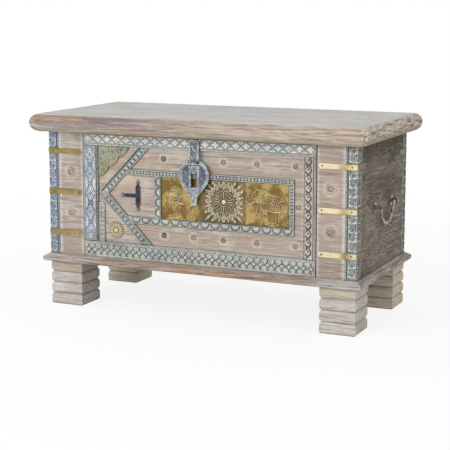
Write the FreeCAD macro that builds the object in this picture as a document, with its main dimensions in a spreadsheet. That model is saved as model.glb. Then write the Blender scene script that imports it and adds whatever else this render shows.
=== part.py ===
import FreeCAD, Part
import math
import os
import re
import Sketcher

# Dowry chest of carved wood with brass plates, iron hasp and bail handles.
# Millimetres, +Z up, +X to the right of someone facing the front, the front looks along -Y.
# The origin lies on the floor under the middle of the chest's whole outline.

SIZES = {
    # carcase
    "body_width": 900,
    "body_depth": 416,
    "body_height": 343,
    "post_side": 32,
    "board_thickness": 18,
    "bottom_thickness": 12,
    "field_setback": 8,
    # feet and base moulding
    "foot_side": 98,
    "foot_height": 124,
    "foot_layers": 4,
    "groove_depth": 5,
    "groove_height": 9,
    "foot_round": 3,
    "base_thickness": 21,
    "base_overhang": 17,
    "base_seat": 46,
    "base_nose": 13,
    "base_step": 5,
    "base_round": 5,
    # lid
    "lid_thickness": 50,
    "lid_overhang_front": 40,
    "lid_overhang_side": 38,
    "lid_overhang_back": 25,
    "lid_nose_radius": 24,
    "batten_width": 58,
    "batten_thickness": 20,
    "batten_inset": 150,
    "batten_clearance": 12,
    "batten_chamfer": 8,
    # front panel
    "stile_width": 76,
    "stile_bead": 3,
    "frame_groove": 2,
    "frame_arris": 1.5,
    "carved_left_width": 43,
    "carved_right_width": 33,
    "carved_top_height": 33,
    "carved_bottom_height": 44,
    "overlay_thickness": 4,
    "chevron_tip_rise": 3,
    "chevron_upper_reach": 126,
    "chevron_lower_reach": 134,
    "chevron_breadth": 32,
    "iron_space": 142,
    "strip_left_width": 18,
    "strip_right_width": 13,
    "strip_top_height": 14,
    "strip_bottom_height": 19,
    "right_margin": 28,
    "plate_height": 115,
    "plate_thickness": 1,
    "plate_gap": 2,
    "spandrel_width": 96,
    "spandrel_height": 86,
    "spandrel_lobe": 6,
    "circle_strip_width": 19,
    "arm_gap": 8,
    "sunflower_radius": 25,
    "sunflower_petals": 14,
    "iron_bar_width": 14,
    "iron_bar_length": 62,
    "iron_arm_width": 9.5,
    "iron_arm_length": 34,
    "iron_bud": 12,
    "iron_thickness": 2.5,
    # applied rosettes, studs and corner straps
    "rosette_radius": 16,
    "rosette_height": 4,
    "stud_radius": 7,
    "stud_height": 3,
    "stud_lift": 2.5,
    "strap_height": 14,
    "strap_thickness": 1.2,
    "strap_front_leg": 104,
    "strap_side_leg": 62,
    "strap_flare": 4,
    "strap_low": 62,
    "strap_high": 54,
    # lid hinges
    "hinge_inset": 150,
    "hinge_length": 64,
    "hinge_leaf": 26,
    "hinge_gauge": 2.3,
    "hinge_knuckle_radius": 4,
    "hinge_pin_radius": 2,
    "hinge_running_gap": 0.5,
    # hasp
    "hasp_standoff": 5,
    "hasp_pin_radius": 1.8,
    "hasp_knuckle_radius": 3.5,
    "hasp_plate": 1.5,
    "hasp_gap": 0.5,
    "strap_width": 29,
    "strap_gauge": 2.5,
    "strap_lip_width": 5,
    "strap_lip_height": 1.5,
    "hasp_length": 63.5,
    "tongue_width": 13,
    "tongue_length": 10,
    "disc_radius": 44,
    "disc_drop": 30,
    "disc_gauge": 3,
    "disc_rim_width": 5,
    "disc_relief": 1,
    "notch_clearance": 2,
    "slot_width": 19,
    "slot_height": 42,
    "slot_drop": 20,
    "slot_collar": 4,
    "crescent_depth": 1,
    "crescent_inset": 6,
    "crescent_rim": 9,
    "tail_length": 36,
    "tail_width": 19,
    "tail_root": 67,
    "staple_gauge": 3.6,
    "staple_half_width": 5,
    "staple_reach": 20.6,
    "staple_clearance": 0.6,
    # bail handles
    "bail_span": 140,
    "bail_drop": 50,
    "bail_radius": 4,
    "bail_corner": 7,
    "bail_bow": 24,
    "bail_stub": 9,
    "bail_rise": 169,
    "bail_standoff": 13,
    "eye_radius": 9.5,
    "eye_bore_radius": 4.5,
    "eye_gauge": 5,
    "eye_plate_radius": 15,
    "eye_plate_height": 3,
    # running fit of every pin in its bore
    "pin_clearance": 0.05,
}

# Places that several pieces share, each worked out from the sizes above.
PLACES = {
    "half_width": "body_width / 2",
    "front_face": "-(body_depth + lid_overhang_back - lid_overhang_front) / 2",
    "back_face": "front_face + body_depth",
    "depth_centre": "front_face + body_depth / 2",
    "body_base": "foot_height + base_thickness",
    "body_top": "body_base + body_height",
    "field_face": "front_face + field_setback",
    "cavity_front": "field_face + board_thickness",
    "cavity_back": "back_face - board_thickness",
    "cavity_side": "half_width - board_thickness",
    "frame_half": "half_width - post_side - stile_width - frame_groove",
    "frame_left": "-frame_half + carved_left_width",
    "frame_right": "frame_half - carved_right_width",
    "frame_bottom": "body_base + carved_bottom_height",
    "frame_top": "body_top - carved_top_height",
    "field_middle": "(frame_bottom + frame_top) / 2",
    "tip_z": "field_middle + chevron_tip_rise",
    "tip_inner": "frame_left + chevron_breadth",
    "upper_slope": "chevron_upper_reach / (frame_top - tip_z)",
    "lower_slope": "chevron_lower_reach / (tip_z - frame_bottom)",
    "hasp_pin_z": "body_top - hasp_plate - hasp_gap - hasp_knuckle_radius",
    "hasp_pin_y": "front_face - hasp_standoff",
    "disc_pin_z": "hasp_pin_z - hasp_length",
    "slot_top": "disc_pin_z - slot_drop",
    "staple_bend": "staple_half_width + staple_gauge / 2",
    "staple_z": "slot_top - staple_clearance - staple_gauge / 2",
    "plate_top": "field_middle + plate_height / 2",
    "plate_bottom": "field_middle - plate_height / 2",
    "strip_top_edge": "plate_top + strip_top_height",
    "strip_bottom_edge": "plate_bottom - strip_bottom_height",
    "strip_left": "tip_inner + iron_space",
    "strip_right": "frame_right - right_margin",
    "plates_left": "strip_left + strip_left_width",
    "plates_right": "strip_right - strip_right_width",
    "plate_pitch": "(plates_right - plates_left) / 3",
    "strap_low_z": "body_base + strap_low",
    "strap_pitch": "(body_height - strap_low - strap_high) / 2",
    "rosette_x": "half_width - post_side - stile_width / 2",
    "hinge_x": "half_width - hinge_inset",
    "hinge_y": "back_face + hinge_knuckle_radius",
    "hinge_z": "body_top + hinge_gauge - hinge_running_gap - hinge_knuckle_radius",
    "hinge_third": "hinge_length / 3",
    "bail_z": "body_base + bail_rise",
    "bail_x": "half_width + bail_standoff",
}

doc = FreeCAD.newDocument("DowryChest")
sheet = doc.addObject("Spreadsheet::Sheet", "Sizes")
for row, (alias, value) in enumerate(SIZES.items(), 1):
    sheet.set(f"A{row}", alias)
    sheet.set(f"B{row}", str(value))
    sheet.setAlias(f"B{row}", alias)
doc.recompute()

nodes = []


def bind(text):
    """Writes the shared places out in full and points every size at its cell."""
    def spell(match):
        word = match.group(0)
        if word in PLACES:
            return "(" + bind(PLACES[word]) + ")"
        return "Sizes." + word if word in SIZES else word
    return re.sub(r"\b[a-z][a-z_]*\b", spell, str(text))


def number(text):
    """The present value of an expression, in millimetres."""
    return float(sheet.evalExpression(bind(text)))


def tie(feature, **sizes):
    """Binds properties of a feature to expressions."""
    for name, text in sizes.items():
        feature.setExpression(name, bind(text))
    return feature


def place(feature, x=0, y=0, z=0, turn=None):
    """Binds a feature's place, after an optional fixed turn (axis, degrees)."""
    if turn:
        rotation = FreeCAD.Rotation(FreeCAD.Vector(*turn[0]), turn[1])
        feature.Placement = FreeCAD.Placement(FreeCAD.Vector(), rotation)
    for axis, text in (("x", x), ("y", y), ("z", z)):
        feature.setExpression(f".Placement.Base.{axis}", bind(text))
    return feature


def node(piece, label):
    """Names a finished sub-part and keeps it for export."""
    piece.Label = label
    nodes.append(piece)
    return piece


def new_body():
    return doc.addObject("PartDesign::Body", "Piece")


def origin_feature(body, role):
    return next(item for item in body.Origin.OriginFeatures if item.Role == role)


def new_sketch(body, plane):
    sketch = body.newObject("Sketcher::SketchObject", "Outline")
    sketch.AttachmentSupport = [(origin_feature(body, plane), "")]
    sketch.MapMode = "FlatFace"
    return sketch


def pin_point(sketch, geometry, vertex, x, y):
    """Holds a vertex of the sketch at a pair of expressions."""
    for kind, text in (("DistanceX", x), ("DistanceY", y)):
        index = sketch.addConstraint(Sketcher.Constraint(kind, -1, 1, geometry, vertex, number(text)))
        sketch.setExpression(f"Constraints[{index}]", bind(text))


def add_polygon(sketch, corners):
    """Adds a closed outline whose corners are pairs of expressions."""
    points = [FreeCAD.Vector(number(x), number(y), 0) for x, y in corners]
    count = len(points)
    first = sketch.GeometryCount
    for index in range(count):
        sketch.addGeometry(Part.LineSegment(points[index], points[(index + 1) % count]), False)
    for index in range(count):
        after = first + (index + 1) % count
        sketch.addConstraint(Sketcher.Constraint("Coincident", first + index, 2, after, 1))
    for index, (x, y) in enumerate(corners):
        pin_point(sketch, first + index, 1, x, y)


def add_circle(sketch, x, y, radius):
    """Adds a circle with its centre and radius held by expressions."""
    centre = FreeCAD.Vector(number(x), number(y), 0)
    circle = sketch.addGeometry(Part.Circle(centre, FreeCAD.Vector(0, 0, 1), number(radius)), False)
    pin_point(sketch, circle, 3, x, y)
    index = sketch.addConstraint(Sketcher.Constraint("Radius", circle, number(radius)))
    sketch.setExpression(f"Constraints[{index}]", bind(radius))


def rectangle(x_low, x_high, y_low, y_high):
    return [(x_low, y_low), (x_high, y_low), (x_high, y_high), (x_low, y_high)]


def add_pad(body, sketch, length, symmetric=False, away=False):
    pad = body.newObject("PartDesign::Pad", "Pad")
    pad.Profile = sketch
    pad.SideType = "Symmetric" if symmetric else "One side"
    pad.Reversed = away
    tie(pad, Length=length)
    doc.recompute()
    return pad


def add_cut(body, sketch, depth=None, away=False):
    """Cuts a sketch into the body, through it both ways when no depth is given."""
    doc.recompute()
    before = body.Shape.Volume
    pocket = body.newObject("PartDesign::Pocket", "Cut")
    pocket.Profile = sketch
    if depth is None:
        pocket.Type = "ThroughAll"
        pocket.SideType = "Symmetric"
    else:
        pocket.Reversed = away
        tie(pocket, Length=depth)
    doc.recompute()
    if body.Shape.Volume >= before:
        raise ValueError("a cut removed nothing from " + body.Name)
    return pocket


def add_box(body, x, y, z, length, width, height, kind="Additive"):
    """Adds or takes away a box whose low corner and sides are expressions."""
    box = body.newObject(f"PartDesign::{kind}Box", "Block")
    tie(box, Length=length, Width=width, Height=height)
    return place(box, x, y, z)


def add_cylinder(body, x, y, z, radius, height, turn=None, kind="Additive"):
    """Adds or takes away a cylinder that stands on its place, after a turn."""
    cylinder = body.newObject(f"PartDesign::{kind}Cylinder", "Round")
    tie(cylinder, Radius=radius, Height=height)
    return place(cylinder, x, y, z, turn)


def edge_names(shape, wanted, level):
    """Names of the straight edges whose ends both answer a question, level ones alone if asked."""
    names = []
    for index, edge in enumerate(shape.Edges, 1):
        ends = [vertex.Point for vertex in edge.Vertexes]
        if len(ends) == 2 and all(wanted(end) for end in ends):
            if not level or near(ends[0].z, ends[1].z):
                names.append(f"Edge{index}")
    return names


def ease_edges(body, wanted, kind, size, level=False):
    """Rounds or chamfers the edges of the body's present shape that answer a question."""
    doc.recompute()
    base = body.Tip
    names = edge_names(base.Shape, wanted, level)
    ease = body.newObject(f"PartDesign::{kind}", "Ease")
    ease.Base = (base, names)
    tie(ease, **{"Radius" if kind == "Fillet" else "Size": size})
    doc.recompute()
    return ease


def near(value, target):
    return abs(value - target) < 0.01


def add_pattern(body, features, axis, length, count):
    pattern = body.newObject("PartDesign::LinearPattern", "Row")
    pattern.Originals = features
    pattern.Direction = (origin_feature(body, axis), [""])
    tie(pattern, Length=length, Occurrences=count)
    body.Tip = pattern
    doc.recompute()
    return pattern


def board(label, x, y, z, length, width, height):
    """A squared board from its low corner."""
    body = new_body()
    add_box(body, 0, 0, 0, length, width, height)
    return node(place(body, x, y, z), label)


def overlay(label, corners, thickness, seat, arris=None, drilled=False):
    """A flat piece laid on the front, outlined as seen from the front; a drilled one clears the staple."""
    body = new_body()
    sketch = new_sketch(body, "XZ_Plane")
    add_polygon(sketch, corners)
    add_pad(body, sketch, thickness)
    if arris:
        depth = number(thickness)
        ease_edges(body, lambda point: near(point.y, -depth), "Chamfer", arris)
    place(body, y=seat)
    return node(less(body, together(staple_legs("pin_clearance"))) if drilled else body, label)


def bar_along_x(x, y, z, radius, length):
    """A round bar that starts at its place and runs along +X."""
    bar = doc.addObject("Part::Cylinder", "Bar")
    tie(bar, Radius=radius, Height=length)
    return place(bar, x, y, z, ((0, 1, 0), 90))


def block(x, y, z, length, width, height):
    solid = doc.addObject("Part::Box", "Block")
    tie(solid, Length=length, Width=width, Height=height)
    return place(solid, x, y, z)


def joined(parts):
    fusion = doc.addObject("Part::MultiFuse", "Joined")
    fusion.Shapes = parts
    return fusion


def less(base, tool):
    rest = doc.addObject("Part::Cut", "Less")
    rest.Base = base
    rest.Tool = tool
    return rest


def together(parts):
    group = doc.addObject("Part::Compound", "Group")
    group.Links = parts
    return group


def staple_legs(room):
    """The hasp staple's two square legs, each larger all round by the room asked for."""
    side = f"(staple_gauge + 2 * {room})"
    return [
        block(f"{sign} * staple_half_width - {side} / 2", "field_face - staple_reach + staple_bend",
              f"staple_z - {side} / 2", side, "staple_reach - staple_bend", side)
        for sign in (-1, 1)
    ]


# Feet: square blocks turned into layers by V grooves on all four sides

def make_foot(label, side, end):
    """One foot under the corner that side (left -1, right 1) and end (front -1, back 1) name."""
    body = new_body()
    add_box(body, "-foot_side / 2", "-foot_side / 2", 0, "foot_side", "foot_side", "foot_height")
    layer = "foot_height / foot_layers"
    for plane in ("XZ_Plane", "YZ_Plane"):
        sketch = new_sketch(body, plane)
        for sign in ("-", ""):
            outer = f"{sign}foot_side / 2"
            inner = f"{sign}(foot_side / 2 - groove_depth)"
            low = f"{layer} - groove_height / 2"
            high = f"{layer} + groove_height / 2"
            add_polygon(sketch, [(outer, low), (outer, high), (inner, layer)])
        groove = add_cut(body, sketch)
        add_pattern(body, [groove], "Z_Axis", f"{layer} * (foot_layers - 2)", "foot_layers - 1")
    half = number("foot_side / 2")
    ease_edges(
        body,
        lambda point: near(max(abs(point.x), abs(point.y)), half),
        "Chamfer",
        "min(foot_round; groove_height / 3)",
        level=True,
    )
    y_centre = "front_face + foot_side / 2" if end < 0 else "back_face - foot_side / 2"
    return node(place(body, f"{side} * (half_width - foot_side / 2)", y_centre), label)


for end_name, end_sign in (("front", -1), ("back", 1)):
    for side_name, side_sign in (("left", -1), ("right", 1)):
        make_foot(f"foot_{end_name}_{side_name}", side_sign, end_sign)


# Base moulding: four mitred lengths with a rounded nose under a sloping step

def make_base_moulding(label, run, x, y, turn):
    """One length of moulding for a side of the chest that is `run` long."""
    body = new_body()
    profile = new_sketch(body, "YZ_Plane")
    add_polygon(profile, [
        ("base_seat", "0"),
        ("-base_overhang", "0"),
        ("-base_overhang", "base_nose"),
        ("-base_overhang + base_step", "base_nose + base_round / 2"),
        ("-base_step / 2", "base_thickness"),
        ("base_seat", "base_thickness"),
    ])
    add_pad(body, profile, f"{run} + 2 * base_overhang", symmetric=True)
    nose = number("-base_overhang")
    ease_edges(
        body, lambda point: near(point.y, nose), "Fillet", "min(base_round; base_nose / 2.5)", level=True,
    )
    mitre = new_sketch(body, "XY_Plane")
    for sign in ("-", ""):
        outer = f"{sign}({run} / 2 + base_overhang)"
        inner = f"{sign}({run} / 2 - base_seat)"
        add_polygon(mitre, [(outer, "-base_overhang"), (outer, "base_seat"), (inner, "base_seat")])
    add_cut(body, mitre)
    return node(place(body, x, y, "foot_height", ((0, 0, 1), turn)), label)


make_base_moulding("base_moulding_front", "body_width", 0, "front_face", 0)
make_base_moulding("base_moulding_back", "body_width", 0, "back_face", 180)
make_base_moulding("base_moulding_right", "body_depth", "half_width", "depth_centre", 90)
make_base_moulding("base_moulding_left", "body_depth", "-half_width", "depth_centre", -90)


# Carcase: corner posts with boards between them and a bottom let in between the boards

for end_name, post_y in (("front", "front_face"), ("back", "back_face - post_side")):
    for side_name, post_x in (("left", "-half_width"), ("right", "half_width - post_side")):
        board(f"corner_post_{end_name}_{side_name}", post_x, post_y, "body_base",
              "post_side", "post_side", "body_height")

board("front_board", "-half_width + post_side", "field_face", "body_base",
      "body_width - 2 * post_side", "board_thickness", "body_height")
board("back_board", "-half_width + post_side", "cavity_back", "body_base",
      "body_width - 2 * post_side", "board_thickness", "body_height")
for side_name, board_x in (("left", "-half_width"), ("right", "cavity_side")):
    board(f"side_board_{side_name}", board_x, "front_face + post_side", "body_base",
          "board_thickness", "body_depth - 2 * post_side", "body_height")


def make_bottom():
    """The bottom board, notched round the corner posts."""
    body = new_body()
    sketch = new_sketch(body, "XY_Plane")
    post_x = "half_width - post_side"
    post_front = "front_face + post_side"
    post_back = "back_face - post_side"
    quarter = [
        ("-1", "cavity_front", post_front, False),
        ("1", "cavity_front", post_front, True),
        ("1", "cavity_back", post_back, False),
        ("-1", "cavity_back", post_back, True),
    ]
    corners = []
    for sign, edge_y, notch_y, edge_first in quarter:
        notch = [
            (f"{sign} * cavity_side", notch_y),
            (f"{sign} * ({post_x})", notch_y),
            (f"{sign} * ({post_x})", edge_y),
        ]
        corners += notch[::-1] if edge_first else notch
    add_polygon(sketch, corners)
    add_pad(body, sketch, "bottom_thickness")
    return node(place(body, z="body_base"), "bottom_board")


make_bottom()


# Lid: a thick slab with a half round nose all round, hung on butt hinges let into it

def make_lid():
    body = new_body()
    width = "body_width + 2 * lid_overhang_side"
    depth = "body_depth + lid_overhang_front + lid_overhang_back"
    add_box(body, "-half_width - lid_overhang_side", "front_face - lid_overhang_front", 0,
            width, depth, "lid_thickness")
    top = number("lid_thickness")
    ease_edges(
        body,
        lambda point: near(point.z, 0) or near(point.z, top),
        "Fillet",
        "min(lid_nose_radius; lid_thickness / 2 - 1)",
        level=True,
    )
    recess = new_sketch(body, "XY_Plane")
    for sign in ("-", ""):
        middle = f"{sign}hinge_x"
        reach = "(hinge_length / 2 + hinge_running_gap)"
        low, high = f"{middle} - {reach}", f"{middle} + {reach}"
        add_polygon(recess, rectangle(low, high, "back_face - hinge_leaf", "back_face + lid_overhang_back"))
    add_cut(body, recess, "hinge_gauge", away=True)
    return node(place(body, z="body_top"), "lid_panel")


def make_batten(side_name, sign):
    """A batten across the lid's underside, with its lower ends chamfered."""
    body = new_body()
    length = "cavity_back - cavity_front - 2 * batten_clearance"
    profile = new_sketch(body, "YZ_Plane")
    add_polygon(profile, [
        ("0", "0"),
        ("0", "-batten_thickness + batten_chamfer"),
        ("batten_chamfer", "-batten_thickness"),
        (f"{length} - batten_chamfer", "-batten_thickness"),
        (length, "-batten_thickness + batten_chamfer"),
        (length, "0"),
    ])
    add_pad(body, profile, "batten_width", symmetric=True)
    place(body, f"{sign} * (half_width - batten_inset)", "cavity_front + batten_clearance", "body_top")
    return node(body, f"lid_batten_{side_name}")


make_lid()
make_batten("left", -1)
make_batten("right", 1)


# Front: plain stiles beside a carved frame, flush with the posts

def make_front_stile(side_name, sign):
    """A plain stile whose edge beside the carved frame has a small bead chamfer."""
    body = new_body()
    sketch = new_sketch(body, "XY_Plane")
    outer = f"{sign} * (half_width - post_side)"
    inner = f"{sign} * (half_width - post_side - stile_width)"
    bead = f"{sign} * (half_width - post_side - stile_width + stile_bead)"
    add_polygon(sketch, [
        (outer, "0"), (inner, "0"), (inner, "-field_setback + stile_bead"),
        (bead, "-field_setback"), (outer, "-field_setback"),
    ])
    add_pad(body, sketch, "body_height")
    return node(place(body, 0, "field_face", "body_base"), f"front_stile_{side_name}")


make_front_stile("left", -1)
make_front_stile("right", 1)

overlay("carved_rail_top", rectangle("-frame_half", "frame_half", "frame_top", "body_top"),
        "field_setback", "field_face", "frame_arris")
overlay("carved_rail_bottom", rectangle("-frame_half", "frame_half", "body_base", "frame_bottom"),
        "field_setback", "field_face", "frame_arris")
overlay("carved_stile_left", rectangle("-frame_half", "frame_left", "frame_bottom", "frame_top"),
        "field_setback", "field_face", "frame_arris")
overlay("carved_stile_right", rectangle("frame_right", "frame_half", "frame_bottom", "frame_top"),
        "field_setback", "field_face", "frame_arris")

# Chevron: two arms mitred at the tip, each running up or down to a rail
overlay("chevron_upper", [
    ("frame_left", "tip_z"), ("tip_inner", "tip_z"),
    ("tip_inner + chevron_upper_reach", "frame_top"), ("frame_left + chevron_upper_reach", "frame_top"),
], "overlay_thickness", "field_face")
overlay("chevron_lower", [
    ("frame_left", "tip_z"), ("frame_left + chevron_lower_reach", "frame_bottom"),
    ("tip_inner + chevron_lower_reach", "frame_bottom"), ("tip_inner", "tip_z"),
], "overlay_thickness", "field_face")


def arm_x(height, upper):
    """Where the inner edge of a chevron arm stands at a height."""
    if upper:
        return f"tip_inner + ({height} - tip_z) * upper_slope"
    return f"tip_inner + (tip_z - ({height})) * lower_slope"


# Inner strips round the brass plates, the long ones butted against the chevron's arms
overlay("inner_strip_top", [
    (arm_x("plate_top", True), "plate_top"), ("strip_right", "plate_top"),
    ("strip_right", "strip_top_edge"), (arm_x("strip_top_edge", True), "strip_top_edge"),
], "overlay_thickness", "field_face", drilled=True)
overlay("inner_strip_bottom", [
    (arm_x("plate_bottom", False), "plate_bottom"), (arm_x("strip_bottom_edge", False), "strip_bottom_edge"),
    ("strip_right", "strip_bottom_edge"), ("strip_right", "plate_bottom"),
], "overlay_thickness", "field_face")
overlay("inner_strip_left", rectangle("strip_left", "plates_left", "plate_bottom", "plate_top"),
        "overlay_thickness", "field_face")
overlay("inner_strip_right", rectangle("plates_right", "strip_right", "plate_bottom", "plate_top"),
        "overlay_thickness", "field_face")

for index, name in enumerate(("left", "centre", "right")):
    low = f"plates_left + plate_gap + {index} * (plate_pitch - plate_gap / 3)"
    overlay(f"brass_plate_{name}",
            rectangle(low, f"{low} + plate_pitch - plate_gap * 4 / 3", "plate_bottom", "plate_top"),
            "plate_thickness", "field_face", drilled=True)

overlay("circle_strip", rectangle(
    "frame_left", "frame_left + circle_strip_width", "frame_bottom",
    "tip_z - circle_strip_width / lower_slope - arm_gap",
), "overlay_thickness", "field_face")


def make_spandrel():
    """Carved leaf in the upper left corner of the field, its long edge in three round lobes."""
    body = new_body()
    sketch = new_sketch(body, "XZ_Plane")
    points = [("frame_left", "frame_top")]
    for share in ("0", "1 / 3", "2 / 3", "1"):
        drop = f"spandrel_height * (1 - {share})"
        points.append((f"frame_left + spandrel_width * {share}", f"frame_top - {drop}"))
    spots = [FreeCAD.Vector(number(x), number(z), 0) for x, z in points]
    sketch.addGeometry(Part.LineSegment(spots[0], spots[1]), False)
    outward = FreeCAD.Vector(number("spandrel_height"), -number("spandrel_width"), 0).normalize()
    for start, end in zip(spots[1:], spots[2:]):
        crown = (start + end) / 2 + outward * number("spandrel_lobe")
        sketch.addGeometry(Part.Arc(start, crown, end), False)
    sketch.addGeometry(Part.LineSegment(spots[4], spots[0]), False)
    half_chord = "(sqrt(spandrel_width ^ 2 + spandrel_height ^ 2) / 6)"
    for edge, (x, z) in enumerate(points):
        sketch.addConstraint(Sketcher.Constraint("Coincident", edge, 2, (edge + 1) % len(points), 1))
        pin_point(sketch, edge, 1, x, z)
    for lobe in (1, 2, 3):
        radius = f"({half_chord} ^ 2 + spandrel_lobe ^ 2) / (2 * spandrel_lobe)"
        index = sketch.addConstraint(Sketcher.Constraint("Radius", lobe, number(radius)))
        sketch.setExpression(f"Constraints[{index}]", bind(radius))
    add_pad(body, sketch, "overlay_thickness")
    return node(place(body, y="field_face"), "leaf_spandrel")


make_spandrel()


def add_prism(body, sides, radius, height):
    """Adds a regular prism that stands out of the front from the body's own origin."""
    prism = body.newObject("PartDesign::AdditivePrism", "Prism")
    tie(prism, Polygon=sides, Circumradius=radius, Height=height)
    return place(prism, turn=((1, 0, 0), 90))


def make_sunflower():
    """A flower boss: a raised heart with a ring of pointed petals."""
    body = new_body()
    add_prism(body, "sunflower_petals", "sunflower_radius * 0.6", "overlay_thickness")
    petal = new_sketch(body, "XZ_Plane")
    add_polygon(petal, [
        ("0", "sunflower_radius * 0.4"), ("sunflower_radius * 0.16", "sunflower_radius * 0.72"),
        ("0", "sunflower_radius"), ("-sunflower_radius * 0.16", "sunflower_radius * 0.72"),
    ])
    ray = add_pad(body, petal, "overlay_thickness * 0.7")
    ring = body.newObject("PartDesign::PolarPattern", "Ring")
    ring.Originals = [ray]
    ring.Axis = (origin_feature(body, "Y_Axis"), [""])
    ring.Angle = 360
    tie(ring, Occurrences="sunflower_petals")
    body.Tip = ring
    doc.recompute()
    place(body, "frame_left + chevron_lower_reach * 0.4", "field_face",
          "frame_bottom + (tip_z - frame_bottom) * 0.25")
    return node(body, "sunflower_boss")


make_sunflower()


def make_iron_ornament():
    """A T lying on its side, with a diamond bud on each of its three ends."""
    body = new_body()
    sketch = new_sketch(body, "XZ_Plane")
    bar, arm = "iron_bar_width / 2", "iron_arm_width / 2"
    end, neck, bud = "iron_bar_length / 2", "iron_arm_width / 4", "iron_bud"
    left = "-iron_bar_width / 2 - iron_arm_length"
    upper = [
        (f"-{neck}", end), (f"-{bud} / 2", f"{end} + {bud} / 2"), ("0", f"{end} + {bud}"),
        (f"{bud} / 2", f"{end} + {bud} / 2"), (neck, end), (bar, f"{end} - {bar}"),
    ]
    lower = [(x, f"-({z})") for x, z in reversed(upper)]
    side = [
        (f"-{bar}", f"-({end} - {bar})"), (f"-{bar}", f"-{arm}"), (f"{left} + {arm}", f"-{arm}"),
        (left, f"-{neck}"), (f"{left} - {bud} / 2", f"-{bud} / 2"), (f"{left} - {bud}", "0"),
        (f"{left} - {bud} / 2", f"{bud} / 2"), (left, neck), (f"{left} + {arm}", arm),
        (f"-{bar}", arm), (f"-{bar}", f"{end} - {bar}"),
    ]
    add_polygon(sketch, upper + lower + side)
    add_pad(body, sketch, "iron_thickness")
    place(body, "strip_left - iron_space * 0.37", "field_face", "field_middle")
    return node(body, "iron_ornament")


make_iron_ornament()


# Rosettes on the stiles, rose headed studs on the field

ROSETTE_SIDES = 16
STUD_SIDES = 8


def rose_head(x, y, z, sides, radius, height):
    """A many sided head with a sloping edge and a raised centre, seated on a face of the front."""
    body = new_body()
    add_prism(body, sides, radius, f"{height} * 0.7")
    face = -number(f"{height} * 0.7")
    ease_edges(body, lambda point: near(point.y, face), "Chamfer", f"{height} * 0.45")
    add_prism(body, sides // 2, f"{radius} * 0.5", height)
    return place(body, x, y, z)


node(together([
    rose_head(f"{sign} * rosette_x", "front_face", f"strap_low_z + strap_pitch * {rise}",
              ROSETTE_SIDES, "rosette_radius", "rosette_height")
    for sign in (-1, 1)
    for rise in (0.5, 1.5)
]), "stile_rosettes")

# How far along the field each stud stands; they were set by eye, so the spacing is uneven
IRON_SHARE = 0.02
ROSE_SHARES = (0.24, 0.46, 0.7, 0.97)
END_SHARE = 0.99
HIGH_ROW = "(strip_top_edge + frame_top) / 2 + stud_lift"
LOW_ROW = "(strip_bottom_edge + frame_bottom) / 2 + stud_lift"


def stud_at(share, row):
    x = f"plates_left + (frame_right - right_margin / 2 - plates_left) * {share}"
    return rose_head(x, "field_face", row, STUD_SIDES, "stud_radius", "stud_height")


node(together([stud_at(IRON_SHARE, row) for row in (HIGH_ROW, LOW_ROW)]), "iron_studs")
node(together(
    [stud_at(share, row) for row in (HIGH_ROW, LOW_ROW) for share in ROSE_SHARES]
    + [stud_at(END_SHARE, "field_middle")]
), "field_rosettes")


# Brass straps bent round the corners, three to a corner

def make_corner_straps(side_name, side, end_name, end):
    """Three straps on one corner; each is a front leg and a side leg with clipped ends."""
    body = new_body()
    body.AllowCompound = True
    face = "front_face" if end < 0 else "back_face"
    half = "strap_height / 2"
    legs = []
    for plane, corner, leg, across in (
        ("XZ_Plane", f"{side} * (half_width + strap_thickness)", "strap_front_leg", side),
        ("YZ_Plane", f"{end} * strap_thickness", "strap_side_leg", end),
    ):
        sketch = new_sketch(body, plane)
        tip = f"{corner} - ({across}) * ({leg})"
        clip = f"{corner} - ({across}) * ({leg} - strap_flare)"
        add_polygon(sketch, [
            (corner, f"-{half}"), (clip, f"-{half}"), (tip, f"-{half} + strap_flare"),
            (tip, f"{half} - strap_flare"), (clip, half), (corner, half),
        ])
        outward = (end < 0) if plane == "XZ_Plane" else (side > 0)
        legs.append(add_pad(body, sketch, "strap_thickness", away=not outward))
        if plane == "YZ_Plane":
            sketch.setExpression(".AttachmentOffset.Base.z", bind(f"{side} * half_width"))
    add_pattern(body, legs, "Z_Axis", "2 * strap_pitch", "3")
    return node(place(body, 0, face, "strap_low_z"), f"brass_straps_{end_name}_{side_name}")


for end_name, end_sign in (("front", -1), ("back", 1)):
    for side_name, side_sign in (("left", -1), ("right", 1)):
        make_corner_straps(side_name, side_sign, end_name, end_sign)


# Butt hinges at the back: one leaf on the back board, one let into the lid, a pin through both

def hinge_bar(sign, radius):
    """A round bar on a hinge's axis, as long as its leaves."""
    return bar_along_x(f"{sign} * hinge_x - hinge_length / 2", "hinge_y", "hinge_z", radius, "hinge_length")


def hinge_body_leaf(sign):
    """The fixed leaf with its two outer knuckles."""
    low = f"{sign} * hinge_x - hinge_length / 2"
    leaf = block(low, "back_face", "hinge_z - hinge_knuckle_radius - hinge_leaf",
                 "hinge_length", "hinge_gauge", "hinge_leaf - hinge_running_gap")
    parts = [leaf]
    for start in (low, f"{low} + 2 * hinge_third"):
        parts.append(block(start, "back_face", "hinge_z - hinge_knuckle_radius - hinge_leaf",
                           "hinge_third - hinge_running_gap / 2", "hinge_gauge",
                           "hinge_leaf + hinge_knuckle_radius"))
        parts.append(bar_along_x(start, "hinge_y", "hinge_z", "hinge_knuckle_radius",
                                 "hinge_third - hinge_running_gap / 2"))
    bore = hinge_bar(sign, "hinge_pin_radius + pin_clearance")
    return less(joined(parts), bore)


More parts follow.
